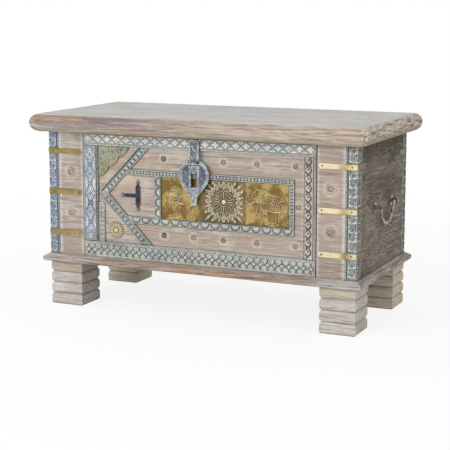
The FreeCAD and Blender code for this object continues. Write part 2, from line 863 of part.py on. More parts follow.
def hinge_lid_leaf(sign):
    """The moving leaf with the middle knuckle."""
    low = f"{sign} * hinge_x - hinge_length / 2"
    knuckle_low = f"{low} + hinge_third + hinge_running_gap / 2"
    leaf_z = "body_top + hinge_running_gap / 2"
    leaf = block(low, "back_face - hinge_leaf + hinge_running_gap", leaf_z,
                 "hinge_length", "hinge_leaf - 2 * hinge_running_gap", "hinge_gauge - hinge_running_gap / 2")
    neck = block(knuckle_low, "back_face - 2 * hinge_running_gap", leaf_z,
                 "hinge_third - hinge_running_gap", "hinge_knuckle_radius + 2 * hinge_running_gap",
                 "hinge_gauge - 1.5 * hinge_running_gap")
    knuckle = bar_along_x(knuckle_low, "hinge_y", "hinge_z", "hinge_knuckle_radius",
                          "hinge_third - hinge_running_gap")
    bore = hinge_bar(sign, "hinge_pin_radius + pin_clearance")
    return less(joined([leaf, neck, knuckle]), bore)


node(together([hinge_body_leaf(-1), hinge_body_leaf(1)]), "hinge_body_leaves")
node(together([hinge_lid_leaf(-1), hinge_lid_leaf(1)]), "hinge_lid_leaves")
node(together([hinge_bar(-1, "hinge_pin_radius"), hinge_bar(1, "hinge_pin_radius")]), "hinge_pins")


# Hasp: a hanger under the lid, a channelled strap, a slotted disc, and the staple it closes over

EAR_INNER = "strap_width / 2 + hasp_gap"
EAR_THICKNESS = "2 * hasp_plate"


def make_hasp_hanger():
    """A plate under the lid's front edge with an ear each side of the strap."""
    width = f"2 * ({EAR_INNER} + {EAR_THICKNESS})"
    depth = "2 * hasp_knuckle_radius"
    y_low = "hasp_pin_y - hasp_knuckle_radius"
    parts = [block(f"-({width}) / 2", y_low, "body_top - hasp_plate", width, depth, "hasp_plate")]
    for start in (f"-({EAR_INNER}) - {EAR_THICKNESS}", EAR_INNER):
        parts.append(block(start, y_low, "hasp_pin_z", EAR_THICKNESS, depth, "body_top - hasp_pin_z"))
        parts.append(bar_along_x(start, "hasp_pin_y", "hasp_pin_z", "hasp_knuckle_radius", EAR_THICKNESS))
    bore = bar_along_x(f"-({width})", "hasp_pin_y", "hasp_pin_z", "hasp_pin_radius", f"2 * {width}")
    node(less(joined(parts), bore), "hasp_hanger")
    pin = bar_along_x(f"-({width}) / 2", "hasp_pin_y", "hasp_pin_z", "hasp_pin_radius", width)
    node(pin, "hasp_hanger_pin")


def make_hasp_strap():
    """The strap: a shallow channel with a rolled eye at its top and a narrow tongue and eye at its foot."""
    body = new_body()
    half, lip = "strap_width / 2", "strap_lip_width"
    back, front = "strap_gauge / 2", "-strap_gauge / 2"
    proud = "-strap_gauge / 2 - strap_lip_height"
    run = "hasp_length - tongue_length - hasp_knuckle_radius"
    channel = new_sketch(body, "XY_Plane")
    channel.setExpression(".AttachmentOffset.Base.z", bind(f"-({run}) - hasp_knuckle_radius"))
    right = [(half, back), (half, proud), (f"{half} - {lip}", proud), (f"{half} - {lip}", front)]
    left = [(f"-({x})", y) for x, y in reversed(right)]
    add_polygon(channel, right + left)
    add_pad(body, channel, run)
    add_box(body, f"-{half}", front, "-hasp_knuckle_radius - hasp_gap", "strap_width", "strap_gauge",
            "hasp_knuckle_radius + hasp_gap")
    add_box(body, "-tongue_width / 2", front, "-hasp_length", "tongue_width", "strap_gauge",
            "tongue_length + hasp_gap")
    along_x = ((0, 1, 0), 90)
    add_cylinder(body, f"-{half}", 0, 0, "hasp_knuckle_radius", "strap_width", along_x)
    add_cylinder(body, "-tongue_width / 2", 0, "-hasp_length", "hasp_knuckle_radius", "tongue_width", along_x)
    for drop in ("0", "-hasp_length"):
        add_cylinder(body, "-strap_width", 0, drop, "hasp_pin_radius + pin_clearance",
                     "2 * strap_width", along_x, "Subtractive")
    return node(place(body, 0, "hasp_pin_y", "hasp_pin_z"), "hasp_strap")


def add_crescent(sketch, sign):
    """Half-moon outline between an upright chord and an arc about the disc's centre."""
    chord = number("slot_width / 2 + crescent_inset")
    radius = number("disc_radius - crescent_rim")
    rise = math.sqrt(radius ** 2 - chord ** 2)
    swing = math.atan2(rise, chord)
    middle = 0 if sign > 0 else math.pi
    centre_z = number("-disc_drop")
    circle = Part.Circle(FreeCAD.Vector(0, centre_z, 0), FreeCAD.Vector(0, 0, 1), radius)
    arc = sketch.addGeometry(Part.ArcOfCircle(circle, middle - swing, middle + swing), False)
    high = FreeCAD.Vector(sign * chord, centre_z + sign * rise, 0)
    low = FreeCAD.Vector(sign * chord, centre_z - sign * rise, 0)
    line = sketch.addGeometry(Part.LineSegment(high, low), False)
    pin_point(sketch, arc, 3, "0", "-disc_drop")
    index = sketch.addConstraint(Sketcher.Constraint("Radius", arc, radius))
    sketch.setExpression(f"Constraints[{index}]", bind("disc_radius - crescent_rim"))
    sketch.addConstraint(Sketcher.Constraint("Coincident", arc, 2, line, 1))
    sketch.addConstraint(Sketcher.Constraint("Coincident", arc, 1, line, 2))
    sketch.addConstraint(Sketcher.Constraint("Vertical", line))
    index = sketch.addConstraint(Sketcher.Constraint("DistanceX", -1, 1, line, 1, sign * chord))
    sketch.setExpression(f"Constraints[{index}]", bind(f"{sign} * (slot_width / 2 + crescent_inset)"))


def make_hasp_disc():
    """The hasp's plate: round above, drawn in to a tail below, rimmed, and slotted for the staple."""
    body = new_body()
    back = "disc_gauge / 2"
    plate = new_sketch(body, "XZ_Plane")
    plate.setExpression(".AttachmentOffset.Base.z", bind(f"-{back}"))
    add_circle(plate, "0", "-disc_drop", "disc_radius")
    add_pad(body, plate, "disc_gauge")
    tail_top = "-disc_drop - disc_radius * 0.64"
    tail_neck = "-disc_drop - disc_radius - tail_length * 0.37"
    tail_end = "-disc_drop - disc_radius - tail_length"
    tail = new_sketch(body, "XZ_Plane")
    tail.setExpression(".AttachmentOffset.Base.z", bind(f"-{back}"))
    add_polygon(tail, [
        ("-tail_root / 2", tail_top), ("-tail_width / 2", tail_neck),
        ("-tail_width * 0.4", tail_end), ("tail_width * 0.4", tail_end),
        ("tail_width / 2", tail_neck), ("tail_root / 2", tail_top),
    ])
    add_pad(body, tail, "disc_gauge + disc_relief")
    rim = new_sketch(body, "XZ_Plane")
    rim.setExpression(".AttachmentOffset.Base.z", bind(back))
    add_circle(rim, "0", "-disc_drop", "disc_radius")
    add_circle(rim, "0", "-disc_drop", "disc_radius - disc_rim_width")
    add_pad(body, rim, "disc_relief")
    well = new_sketch(body, "XZ_Plane")
    well.setExpression(".AttachmentOffset.Base.z", bind(f"{back} + disc_relief"))
    well_top, well_foot = "(tail_root / 2 - 1.3 * disc_rim_width)", f"{tail_neck} + disc_rim_width"
    add_polygon(well, [
        (f"-{well_top}", tail_top), ("-tail_width * 0.2", well_foot),
        ("tail_width * 0.2", well_foot), (well_top, tail_top),
    ])
    add_cut(body, well, "disc_relief")
    slot_high, slot_low = "-slot_drop", "-slot_drop - slot_height"
    collar = new_sketch(body, "XZ_Plane")
    collar.setExpression(".AttachmentOffset.Base.z", bind(back))
    add_polygon(collar, rectangle("-slot_width / 2 - slot_collar", "slot_width / 2 + slot_collar",
                                  f"{slot_low} - slot_collar / 2", f"{slot_high} + slot_collar / 2"))
    add_pad(body, collar, "disc_relief")
    lift = new_sketch(body, "XZ_Plane")
    lift.setExpression(".AttachmentOffset.Base.z", bind(back))
    add_polygon(lift, rectangle("-tail_width * 0.4", "tail_width * 0.4",
                                tail_end, f"{tail_end} + tail_length / 4"))
    add_pad(body, lift, "2 * disc_relief")
    notch = "strap_width / 2 + notch_clearance"
    openings = new_sketch(body, "XZ_Plane")
    add_polygon(openings, rectangle("-slot_width / 2", "slot_width / 2", slot_low, slot_high))
    add_polygon(openings, rectangle(f"-({notch})", notch, "-hasp_knuckle_radius - hasp_gap", "disc_radius"))
    add_cut(body, openings)
    crescents = new_sketch(body, "XZ_Plane")
    crescents.setExpression(".AttachmentOffset.Base.z", bind(back))
    add_crescent(crescents, 1)
    add_crescent(crescents, -1)
    add_cut(body, crescents, "crescent_depth")
    bar_reach = f"({notch} + disc_rim_width)"
    add_cylinder(body, f"-{bar_reach}", 0, 0, "hasp_pin_radius", f"2 * {bar_reach}", ((0, 1, 0), 90))
    return node(place(body, 0, "hasp_pin_y", "disc_pin_z"), "hasp_disc")


def make_staple():
    """A level loop of square iron: two legs out of the field with a half round bend between them."""
    bend_y = "field_face - staple_reach + staple_bend"
    low = "staple_z - staple_gauge / 2"
    round_end, bend_bore = (doc.addObject("Part::Cylinder", "Bend") for _ in range(2))
    tie(round_end, Radius="staple_bend", Height="staple_gauge")
    tie(bend_bore, Radius="staple_half_width - staple_gauge / 2", Height="2 * staple_gauge")
    place(round_end, 0, bend_y, low)
    place(bend_bore, 0, bend_y, f"{low} - staple_gauge / 2")
    back_half = block("-staple_bend", bend_y, f"{low} - staple_gauge", "2 * staple_bend", "staple_bend",
                      "3 * staple_gauge")
    bend = less(less(round_end, bend_bore), back_half)
    return node(joined([bend] + staple_legs("0")), "hasp_staple")


make_hasp_hanger()
make_hasp_strap()
make_hasp_disc()
make_staple()


# Bail handles: a drop bail on two eyes, each eye standing on a turned plate

BAIL_SIDES = 8
PLATE_SIDES = 12


def rounded_path(points, radii):
    """A wire through the points whose corners are tangent arcs of the given radii."""
    edges = []
    start = points[0]
    for before, here, after, radius in zip(points, points[1:], points[2:], radii):
        into = (here - before).normalize()
        away = (after - here).normalize()
        turn = into.getAngle(away)
        reach = radius * math.tan(turn / 2)
        first, last = here - into * reach, here + away * reach
        inward = (away - into).normalize()
        middle = here + inward * (radius / math.cos(turn / 2) - radius)
        edges += [Part.LineSegment(start, first).toShape(), Part.Arc(first, middle, last).toShape()]
        start = last
    edges.append(Part.LineSegment(start, points[-1]).toShape())
    return Part.Wire(edges)


def make_bail(side_name, sign):
    """An eight sided bar bent to a hanging bow, its two short ends turned level through the eyes."""
    half, drop = number("bail_span / 2 + bail_stub"), number("bail_drop")
    shoulder = number("bail_span / 2 - bail_stub")
    hip, foot = shoulder * 0.74, shoulder * 0.27
    points = [
        (-half, 0), (-shoulder, 0), (-hip, -drop * 0.6), (-foot, -drop),
        (foot, -drop), (hip, -drop * 0.6), (shoulder, 0), (half, 0),
    ]
    bow, corner = number("bail_bow"), number("bail_corner")
    path = rounded_path([FreeCAD.Vector(0, y, z) for y, z in points], [corner, bow, bow, bow, bow, corner])
    radius, step = number("bail_radius"), 2 * math.pi / BAIL_SIDES
    corners = [
        FreeCAD.Vector(radius * math.cos(step * (turn + 0.5)), -half, radius * math.sin(step * (turn + 0.5)))
        for turn in range(BAIL_SIDES)
    ]
    bail = doc.addObject("Part::Feature", "Bail")
    bail.Shape = path.makePipeShell([Part.makePolygon(corners + corners[:1])], True, False)
    place(bail, f"{sign} * bail_x", "depth_centre", "bail_z")
    return node(bail, f"handle_bail_{side_name}")


def make_handle_eyes():
    """Two eyes on the right end, each a flat ring on a square shank through a twelve sided plate."""
    eyes = []
    across_y = ((1, 0, 0), 90)
    for along in (-1, 1):
        y_eye = f"depth_centre + {along} * bail_span / 2"
        ring, bore = (doc.addObject("Part::Cylinder", "Ring") for _ in range(2))
        tie(ring, Radius="eye_radius", Height="eye_gauge")
        tie(bore, Radius="eye_bore_radius", Height="2 * eye_gauge")
        place(ring, "bail_x", f"{y_eye} + eye_gauge / 2", "bail_z", across_y)
        place(bore, "bail_x", f"{y_eye} + eye_gauge", "bail_z", across_y)
        plate = doc.addObject("Part::Prism", "Plate")
        plate.Polygon = PLATE_SIDES
        tie(plate, Circumradius="eye_plate_radius", Height="eye_plate_height")
        place(plate, "half_width", y_eye, "bail_z", ((0, 1, 0), 90))
        shank = block("half_width", f"{y_eye} - eye_gauge / 2", "bail_z - eye_gauge / 2",
                      "bail_standoff - eye_bore_radius - 1", "eye_gauge", "eye_gauge")
        eyes.append(less(joined([plate, shank, ring]), bore))
    return node(together(eyes), "handle_eyes_right")


def mirrored(piece, label):
    """The same piece for the left end."""
    mirror = doc.addObject("Part::Mirroring", "Mirror")
    mirror.Source = piece
    mirror.Normal = (1, 0, 0)
    return node(mirror, label)


for side_name, side_sign in (("left", -1), ("right", 1)):
    make_bail(side_name, side_sign)
mirrored(make_handle_eyes(), "handle_eyes_left")


doc.recompute()
faults = [item.Label for item in doc.Objects if {"Invalid", "Error"} & set(item.State)]
for piece in nodes:
    if piece.Shape.isNull() or not piece.Shape.isValid() or not piece.Shape.Solids:
        faults.append(piece.Label)
if faults:
    raise ValueError("failed objects: " + ", ".join(faults))

os.makedirs("parts", exist_ok=True)
for piece in nodes:
    piece.Shape.exportStep(f"parts/{piece.Label}.step")
print(len(nodes), "sub-parts written")
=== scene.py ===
import math
import random

import bmesh
import bpy
import numpy as np
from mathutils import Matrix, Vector


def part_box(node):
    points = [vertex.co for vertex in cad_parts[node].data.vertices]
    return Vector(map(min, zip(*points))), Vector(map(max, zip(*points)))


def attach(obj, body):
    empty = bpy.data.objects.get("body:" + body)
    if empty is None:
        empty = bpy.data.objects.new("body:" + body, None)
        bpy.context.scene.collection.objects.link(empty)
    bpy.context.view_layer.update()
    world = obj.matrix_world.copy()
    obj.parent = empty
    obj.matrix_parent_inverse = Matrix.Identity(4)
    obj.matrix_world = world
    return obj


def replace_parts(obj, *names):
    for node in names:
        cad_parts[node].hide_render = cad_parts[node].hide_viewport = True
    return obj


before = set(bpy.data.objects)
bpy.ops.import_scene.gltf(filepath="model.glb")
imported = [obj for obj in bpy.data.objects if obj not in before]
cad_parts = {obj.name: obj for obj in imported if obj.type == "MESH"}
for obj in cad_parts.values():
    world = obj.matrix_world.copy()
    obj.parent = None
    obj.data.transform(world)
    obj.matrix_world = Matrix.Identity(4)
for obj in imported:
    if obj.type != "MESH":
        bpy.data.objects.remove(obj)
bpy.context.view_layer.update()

MM = 0.001
RIGHT, BACK, UP = Vector((1, 0, 0)), Vector((0, 1, 0)), Vector((0, 0, 1))
SINK = 0.3              # how far a carved chip is let into the wood, in mm
STRAP_HALF = 8.6        # half the height on a post that the carving leaves to a strap, in mm
CHEVRON_BREADTH = 32 * MM
hand = random.Random(7)

field_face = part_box("front_board")[0].y
post_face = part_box("corner_post_front_left")[0].y
post_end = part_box("corner_post_front_right")[1].x


# Finishes

def paint(colour, light=1.0):
    """Three 0 to 255 screen values as the shader wants them; a node's output is left as it is."""
    if isinstance(colour, bpy.types.NodeSocket):
        return colour
    parts = [value / 255 for value in colour]
    parts = [value / 12.92 if value <= 0.04045 else ((value + 0.055) / 1.055) ** 2.4 for value in parts]
    return (*[min(1.0, value * light) for value in parts], 1.0)


class Finish:
    """A material being mixed: each call adds nodes, and lay puts one more colour over the tone so far."""

    def __init__(self, name, tone, grain=0, roughness=0.8, metallic=0.0):
        self.tone, self.grain = tone, grain
        self.material = bpy.data.materials.new(name)
        self.material.use_nodes = True
        self.tree = self.material.node_tree
        self.shader = self.tree.nodes["Principled BSDF"]
        self.shader.inputs["Roughness"].default_value = roughness
        self.shader.inputs["Metallic"].default_value = metallic
        self.place = self.add("ShaderNodeTexCoord").outputs["Object"]

    def add(self, kind, inputs=None, **settings):
        """Adds a node; its inputs take numbers or the outputs of other nodes."""
        node = self.tree.nodes.new(kind)
        for name, value in settings.items():
            setattr(node, name, value)
        for key, value in (inputs or {}).items():
            self.feed(node.inputs[key], value)
        return node

    def feed(self, socket, value):
        if isinstance(value, bpy.types.NodeSocket):
            self.tree.links.new(value, socket)
        else:
            socket.default_value = value

    def maths(self, operation, first, second=0.0, clamp=False):
        sums = {0: first, 1: second}
        return self.add("ShaderNodeMath", sums, operation=operation, use_clamp=clamp).outputs[0]

    def vectors(self, operation, first, second=(0, 0, 0)):
        return self.add("ShaderNodeVectorMath", {0: first, 1: second}, operation=operation).outputs["Value"]

    def sum(self, first, second):
        return self.maths("ADD", first, second, True)

    def times(self, first, second):
        return self.maths("MULTIPLY", first, second, True)

    def mingled(self, first, second, share):
        """The first, with a share of it given over to the second."""
        return self.sum(self.times(first, 1 - share), self.times(second, share))

    def ramp(self, value, low, high):
        """Rises smoothly from 0 at low to 1 at high."""
        limits = {"Value": value, "From Min": low, "From Max": high}
        return self.add("ShaderNodeMapRange", limits, interpolation_type="SMOOTHSTEP").outputs[0]

    def noise(self, along, across=None, grain=None, detail=4.0, rough=0.55, warp=0.0, shift=0.0):
        """Cloudy noise with so many features per metre along the grain and across it."""
        grain = self.grain if grain is None else grain
        scale = tuple(along if axis == grain or across is None else across for axis in range(3))
        moved = self.add("ShaderNodeMapping", {0: self.place, "Scale": scale, "Location": (shift,) * 3})
        look = {"Scale": 1.0, "Detail": detail, "Roughness": rough, "Distortion": warp}
        return self.add("ShaderNodeTexNoise", {"Vector": moved.outputs[0], **look}).outputs["Fac"]

    def blend(self, share, first, second, light=1.0):
        """Mixes two colours, share 1 giving the second."""
        colours = {0: share, 6: paint(first), 7: paint(second, light)}
        return self.add("ShaderNodeMix", colours, data_type="RGBA").outputs[2]

    def lay(self, colour, amount, *shares, light=1.0):
        """Lays a colour over the tone: the amount times each share, an output or what ramp takes."""
        cover = None
        for share in shares:
            share = self.ramp(*share) if isinstance(share, tuple) else share
            cover = share if cover is None else self.times(cover, share)
        self.tone = self.blend(self.times(cover, amount), self.tone, colour, light)

    def along(self, axis):
        """The place along x, y or z, in metres."""
        return self.add("ShaderNodeSeparateXYZ", {0: self.place}).outputs[axis]

    def aside(self):
        """How far it is to either side of the chest's middle, in metres."""
        return self.maths("ABSOLUTE", self.along(0))

    def edges(self, radius):
        """1 on an outside or inside edge of the piece, 0 on its flats."""
        soft = self.add("ShaderNodeBevel", {"Radius": radius}, samples=6).outputs[0]
        hard = self.add("ShaderNodeNewGeometry").outputs["Normal"]
        return self.ramp(self.vectors("DOT_PRODUCT", soft, hard), 0.985, 0.86)

    def crevice(self, reach, shut=0.68, open_at=0.94):
        """1 in corners and narrow gaps, 0 on open ground."""
        light = self.add("ShaderNodeAmbientOcclusion", {"Distance": reach}, samples=8).outputs["AO"]
        return self.ramp(light, open_at, shut)

    def rim(self, place, low, high, reach):
        """1 at either end of a stretch, fading to 0 within the reach."""
        away = self.maths("ABSOLUTE", self.maths("SUBTRACT", place, (low + high) / 2))
        return self.ramp(away, (high - low) / 2 - reach, (high - low) / 2)

    def halo(self, face, radius, *nodes):
        """1 round each solid of the nodes on a face, fading to 0 at the radius."""
        glow = 0.0
        for middle in (middle for node in nodes for middle in centres_of(node)):
            away = self.vectors("DISTANCE", self.place, (middle.x, face, middle.z))
            glow = self.sum(glow, self.ramp(away, radius, radius * 0.45))
        return glow

    def done(self, height, depth, strength):
        """Ends the mixing with a bump so many metres deep, and hands over the material."""
        bump = self.add("ShaderNodeBump", {"Height": height, "Distance": depth, "Strength": strength})
        self.feed(self.shader.inputs["Normal"], bump.outputs[0])
        self.feed(self.shader.inputs["Base Color"], self.tone)
        return self.material


def limed_wood(name, grain, wood, lime, blush, pore, cover=0.4, edge=0.5, cloudy=0.5, more=None):
    """Wood under a worn pale wash: broad patches, streaks, crisp and fine lines, fibres, paler edges, and
    painted shade in its crevices.
    """
    mix = Finish(name, wood, grain)
    broad = mix.noise(2.2, 7.0 / cloudy, detail=3, warp=0.5)
    cloud = mix.noise(13, shift=3.1)
    streaks = mix.noise(5.0, 120.0, detail=5, rough=0.68, warp=0.5, shift=1.7)
    fine = mix.noise(14.0, 380.0, detail=3, rough=0.65, warp=0.3, shift=4.3)
    fibres = mix.noise(60.0, 1100.0, detail=2, rough=0.7, shift=6.9)
    lines = mix.noise(8.0, 210.0, rough=0.72, warp=0.6, shift=8.8)
    laid = mix.mingled(streaks, cloud, cloudy)
    mix.lay(blush, 1, (broad, 0.4, 0.6))
    mix.lay(lime, 0.9, (laid, 0.6 - cover * 0.3, 0.74 - cover * 0.3))
    if more:
        more(mix, streaks, fine)
    mix.lay(pore, 0.55, (streaks, 0.45, 0.3))
    mix.lay(pore, 0.65, (fine, 0.52, 0.66))
    mix.lay(pore, 0.45, (fibres, 0.54, 0.7))
    mix.lay(pore, 0.5, (lines, 0.55, 0.64))
    mix.lay(lime, 0.35, (lines, 0.45, 0.37), light=1.15)
    # painted shade: the pore colour at a third of its light, laid in corners and narrow gaps found by ambient
    # occlusion
    mix.lay(pore, 0.6, mix.crevice(0.005, 0.55, 0.8), light=0.3)
    mix.lay(lime, edge, mix.edges(0.0022), light=1.15)
    return mix.done(mix.mingled(fine, streaks, 0.4), 0.0014, 0.8)


def scraped_wood(name, grain, dark, wood, pale, lean=0.0, seam=0.0):
    """Brown planks with pale scratches that climb a little, thickest in patches, with painted shade under the
    lid.
    """
    mix = Finish(name, dark, grain, roughness=0.82)
    height = mix.along(2)
    mix.place = mix.add("ShaderNodeMapping", {0: mix.place, "Rotation": (lean, -lean, 0)}).outputs[0]
    streaks = mix.noise(14.0, 170.0, detail=6, rough=0.75, warp=0.9, shift=2.3)
    fine = mix.noise(42.0, 520.0, rough=0.75, warp=0.6, shift=5.3)
    mix.lay(wood, 1, (mix.noise(3.0, 9.0, warp=0.6), 0.36, 0.64))
    mix.lay((110, 80, 66), 0.5, (mix.noise(6, detail=3, warp=0.6, shift=1.3), 0.52, 0.66))
    mix.lay(pale, 0.62, (streaks, 0.5, 0.64))
    mix.lay(pale, 0.95, (fine, 0.51, 0.6), (mix.noise(11, detail=3, shift=9.1), 0.38, 0.62))
    mix.lay(dark, 0.85, (streaks, 0.44, 0.3))
    foot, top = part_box("base_moulding_front")[1].z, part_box("lid_panel")[0].z
    # painted shade: darker over the top ten centimetres, towards the lid
    mix.lay(dark, 0.55, (height, top - 0.10, top - 0.01))
    for share in (0.36, 0.69):
        joint = foot + (top - foot) * share
        mix.lay((30, 24, 20), seam, (height, joint - 0.0014, joint), (height, joint + 0.0008, joint + 0.0004))
    return mix.done(mix.mingled(fine, streaks, 0.5), 0.0018, 0.8)


def carved_wash(name, pale, cool, shade, amount=0.55):
    """Thin pale paint left standing on the high parts of the carving, rubbed through in patches."""
    mix = Finish(name, pale)
    rubbed = mix.noise(120, detail=5, rough=0.75, shift=2.0)
    mix.lay(cool, 1, (mix.noise(16, detail=3, shift=5.0), 0.38, 0.62))
    mix.lay(shade, amount, (rubbed, 0.46, 0.64))
    return mix.done(rubbed, 0.0008, 0.7)


def carved_recess(name, dark, mid, line=0.85):
    """The cut ground between the motifs: old paint under dust, with painted shade near black where it meets a
    wall.
    """
    mix = Finish(name, dark, roughness=0.9)
    dusty = mix.noise(190, rough=0.7)
    mix.lay(mid, 1, (mix.mingled(dusty, mix.noise(14, detail=2, shift=8.0), 0.4), 0.34, 0.58))
    bare = mix.blend(mix.ramp(dusty, 0.3, 0.7), (70, 58, 50), (120, 106, 94))
    behind = (mix.along(1), post_face + 0.0094, post_face + 0.0104)
    mix.lay(bare, 1, behind, (mix.aside(), post_end - 0.0006, post_end - 0.0016))
    # painted shade: the dark colour at under a third of its light, by the line amount, in corners and narrow
    # gaps found by ambient occlusion
    mix.lay(dark, line, mix.crevice(0.0032), light=0.28)
    return mix.done(dusty, 0.0008, 0.6)


def aged_brass(name, bright, dull, dark, floor=None, crown=None, more=None):
    """Brass with brown patina, dark in its creases; embossed crowns above the floor depth are polished."""
    mix = Finish(name, bright, metallic=0.7)
    cloud = mix.noise(38, detail=5, warp=0.4)
    specks = mix.noise(300, detail=3, shift=4.0)
    mix.lay(dull, 1, (cloud, 0.38, 0.6))
    if crown:
        mix.lay(crown, 0.75, (mix.along(1), floor, floor - 0.0011))
    if more:
        more(mix)
    mix.lay(dark, 0.35, (specks, 0.54, 0.7))
    mix.lay(dark, 0.9, mix.crevice(0.0035, 0.62, 0.93))
    mix.feed(mix.shader.inputs["Roughness"], mix.sum(mix.times(cloud, 0.3), 0.24))
    return mix.done(mix.mingled(cloud, specks, 0.4), 0.0008, 0.6)


def old_iron(name, base, pale, rust, metallic=0.35, roughness=0.55, deep=None, scuffs=0.55):
    """Grey metal with mottled zinc bloom or rust; below the deep mark it is painted slate, scuffed pale; its
    edges carry a painted highlight and its crevices painted shade.
    """
    mix = Finish(name, base, roughness=roughness, metallic=metallic)
    cloud = mix.noise(75, detail=6, rough=0.65, warp=0.5)
    mix.lay(pale, 1, (cloud, 0.4, 0.62))
    mix.lay(rust, 0.7, (mix.noise(330, detail=2, shift=6.0), 0.54, 0.7))
    if deep is not None:
        slate = mix.blend(mix.ramp(cloud, 0.35, 0.65), (62, 70, 86), (104, 110, 124))
        bloom = mix.noise(110, 190, grain=2, detail=5, rough=0.7, warp=0.6, shift=8.4)
        worn = mix.ramp(bloom, 0.6 - scuffs * 0.13, 0.71 - scuffs * 0.13)
        slate = mix.blend(mix.times(worn, scuffs), slate, (176, 184, 182))
        mix.lay(slate, 1, (mix.along(1), deep - 0.0002, deep + 0.0002))
    # painted highlight: pale colour on every outside and inside edge of the piece
    mix.lay((206, 212, 214), 0.45, mix.edges(0.0012))
    # painted shade: near black in corners and narrow gaps found by ambient occlusion
    mix.lay((34, 36, 38), 0.85, mix.crevice(0.004, 0.5, 0.85))
    return mix.done(cloud, 0.001, 0.7)


def strap_painted_light(mix):
    """Painted light on the straps: painted shade turns them olive at the left of the front, a painted
    highlight makes them near white by the corner at the right, and painted shade darkens their side legs.
    """
    x, aside = mix.along(0), mix.aside()
    # painted shade: the straps at the left of the front darkened to olive
    mix.lay((136, 118, 62), 0.75, (x, -0.2, -0.45))
    # painted highlight: near white on the front legs of the straps near the corner at the right
    mix.lay((250, 242, 208), 0.6, mix.rim(aside, 0.39, 0.4475, 0.03), (x, 0.1, 0.3))
    # painted shade: the legs on the chest's sides darkened
    mix.lay((92, 82, 42), 0.9, (aside, post_end + 0.0002, post_end + 0.0008))


def rosette_halos(mix, streaks, fine):
    """Pale rings of thicker wash round the stile's roses and along its upright edges."""
    x = mix.along(0)
    low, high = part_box("front_stile_right")
    mix.lay((150, 142, 146), 0.28, (x, -0.3, -0.36))
    mix.lay((134, 122, 108), 0.3, (x, 0.3, 0.36), (mix.along(2), 0.27, 0.19))
    mix.lay((214, 204, 186), 0.6, mix.halo(post_face, 0.030, "stile_rosettes"))
    mix.lay((220, 218, 212), 1.5, mix.rim(mix.aside(), low.x, high.x, 0.011), streaks)


def field_halos(mix, streaks, fine):
    """Wash left thicker along the field's edges and round its small roses, warmer and barer at the left."""
    x, z = mix.along(0), mix.along(2)
    left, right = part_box("carved_stile_left")[1].x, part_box("carved_stile_right")[0].x
    foot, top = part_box("carved_rail_bottom")[1].z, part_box("carved_rail_top")[0].z
    rim = mix.sum(mix.rim(x, left, right, 0.014), mix.rim(z, foot, top, 0.012))
    mix.lay((214, 210, 200), 1.1, rim, streaks)
    mix.lay((200, 176, 142), 0.5, (x, -0.16, -0.24), (streaks, 0.42, 0.6))
    mix.lay((192, 186, 176), 0.5, (x, -0.15, -0.24), (z, 0.33, 0.27))
    mix.lay((216, 210, 194), 0.55, mix.halo(field_face, 0.020, "field_rosettes", "iron_studs"))
    inside = mix.blend(streaks, (92, 78, 68), (150, 134, 120))
    mix.lay(inside, 0.85, (mix.along(1), field_face + 0.002, field_face + 0.004))


def lid_nose(mix, streaks, fine):
    """The rounded edge is browner than the top, with dark purple streaks on the left of the front."""
    x, z = mix.along(0), mix.along(2)
    low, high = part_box("lid_panel")
    front = mix.ramp(z, high.z - 0.0006, high.z - 0.005)
    mix.lay(mix.blend(mix.ramp(x, -0.25, 0.3), (158, 142, 132), (192, 170, 148)), 0.82, front)
    mix.lay((112, 92, 96), 0.85, (z, high.z - 0.001, high.z - 0.006), (z, high.z - 0.034, high.z - 0.018),
            (x, 0.05, -0.3), (streaks, 0.36, 0.54))
    warm = mix.noise(40, 5, grain=2, detail=3, warp=0.4, shift=3.3)
    mix.lay((190, 152, 116), 0.6, front, (warm, 0.54, 0.66))
    mix.lay((112, 92, 78), 0.6, front, (streaks, 0.47, 0.4))
    mix.lay((104, 84, 72), 0.6, front, (fine, 0.52, 0.6))
    mix.lay((226, 216, 202), 0.5, front, (fine, 0.42, 0.34))
    mix.lay((150, 134, 96), 0.7, (z, low.z + 0.024, low.z + 0.008), (fine, 0.4, 0.6))
    end = mix.times(mix.ramp(mix.aside(), high.x - 0.022, high.x - 0.010), front)
    torn = mix.noise(22.0, 240.0, grain=1, detail=5, rough=0.74, warp=0.6, shift=7.7)
    mix.lay((78, 64, 52), 0.9, end, (torn, 0.5, 0.4))
    mix.lay((234, 220, 206), 0.85, end, (torn, 0.48, 0.6))
    mix.lay((146, 128, 78), 0.6, end, (z, low.z + 0.022, low.z + 0.012))


def foot_layers(mix, streaks, fine):
    """A front foot's top layer is barer than those below it; the back feet are painted a paler cream, painted
    light against the shade they stand in.
    """
    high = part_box("foot_front_right")[1].z
    right = mix.ramp(mix.along(0), -0.1, 0.1)
    front = mix.ramp(mix.along(1), 0.05, -0.05)
    bare = mix.blend(right, (178, 154, 132), (208, 182, 150))
    # painted light: the back feet laid over with pale cream to lift them out of their shade
    mix.lay((222, 205, 175), 0.6, (front, 0.6, 0.0))
    mix.lay(bare, 0.5, (mix.along(2), high * 0.74, high * 0.78), front)
    mix.lay((214, 204, 190), 0.3, right, front)
    cracks = mix.noise(9.0, 90.0, detail=6, rough=0.75, warp=1.2, shift=2.9)
    mix.lay((98, 90, 84), 0.5, (cracks, 0.44, 0.36))


def base_end_streaks(mix, streaks, fine):
    """Thin pale scratches and dark lines run along the grain of the base's ends."""
    scratches = mix.noise(16.0, 260.0, detail=5, rough=0.75, warp=0.8, shift=7.3)
    mix.lay((190, 188, 184), 0.6, (scratches, 0.52, 0.62))
    mix.lay((84, 76, 72), 0.6, (scratches, 0.47, 0.4))


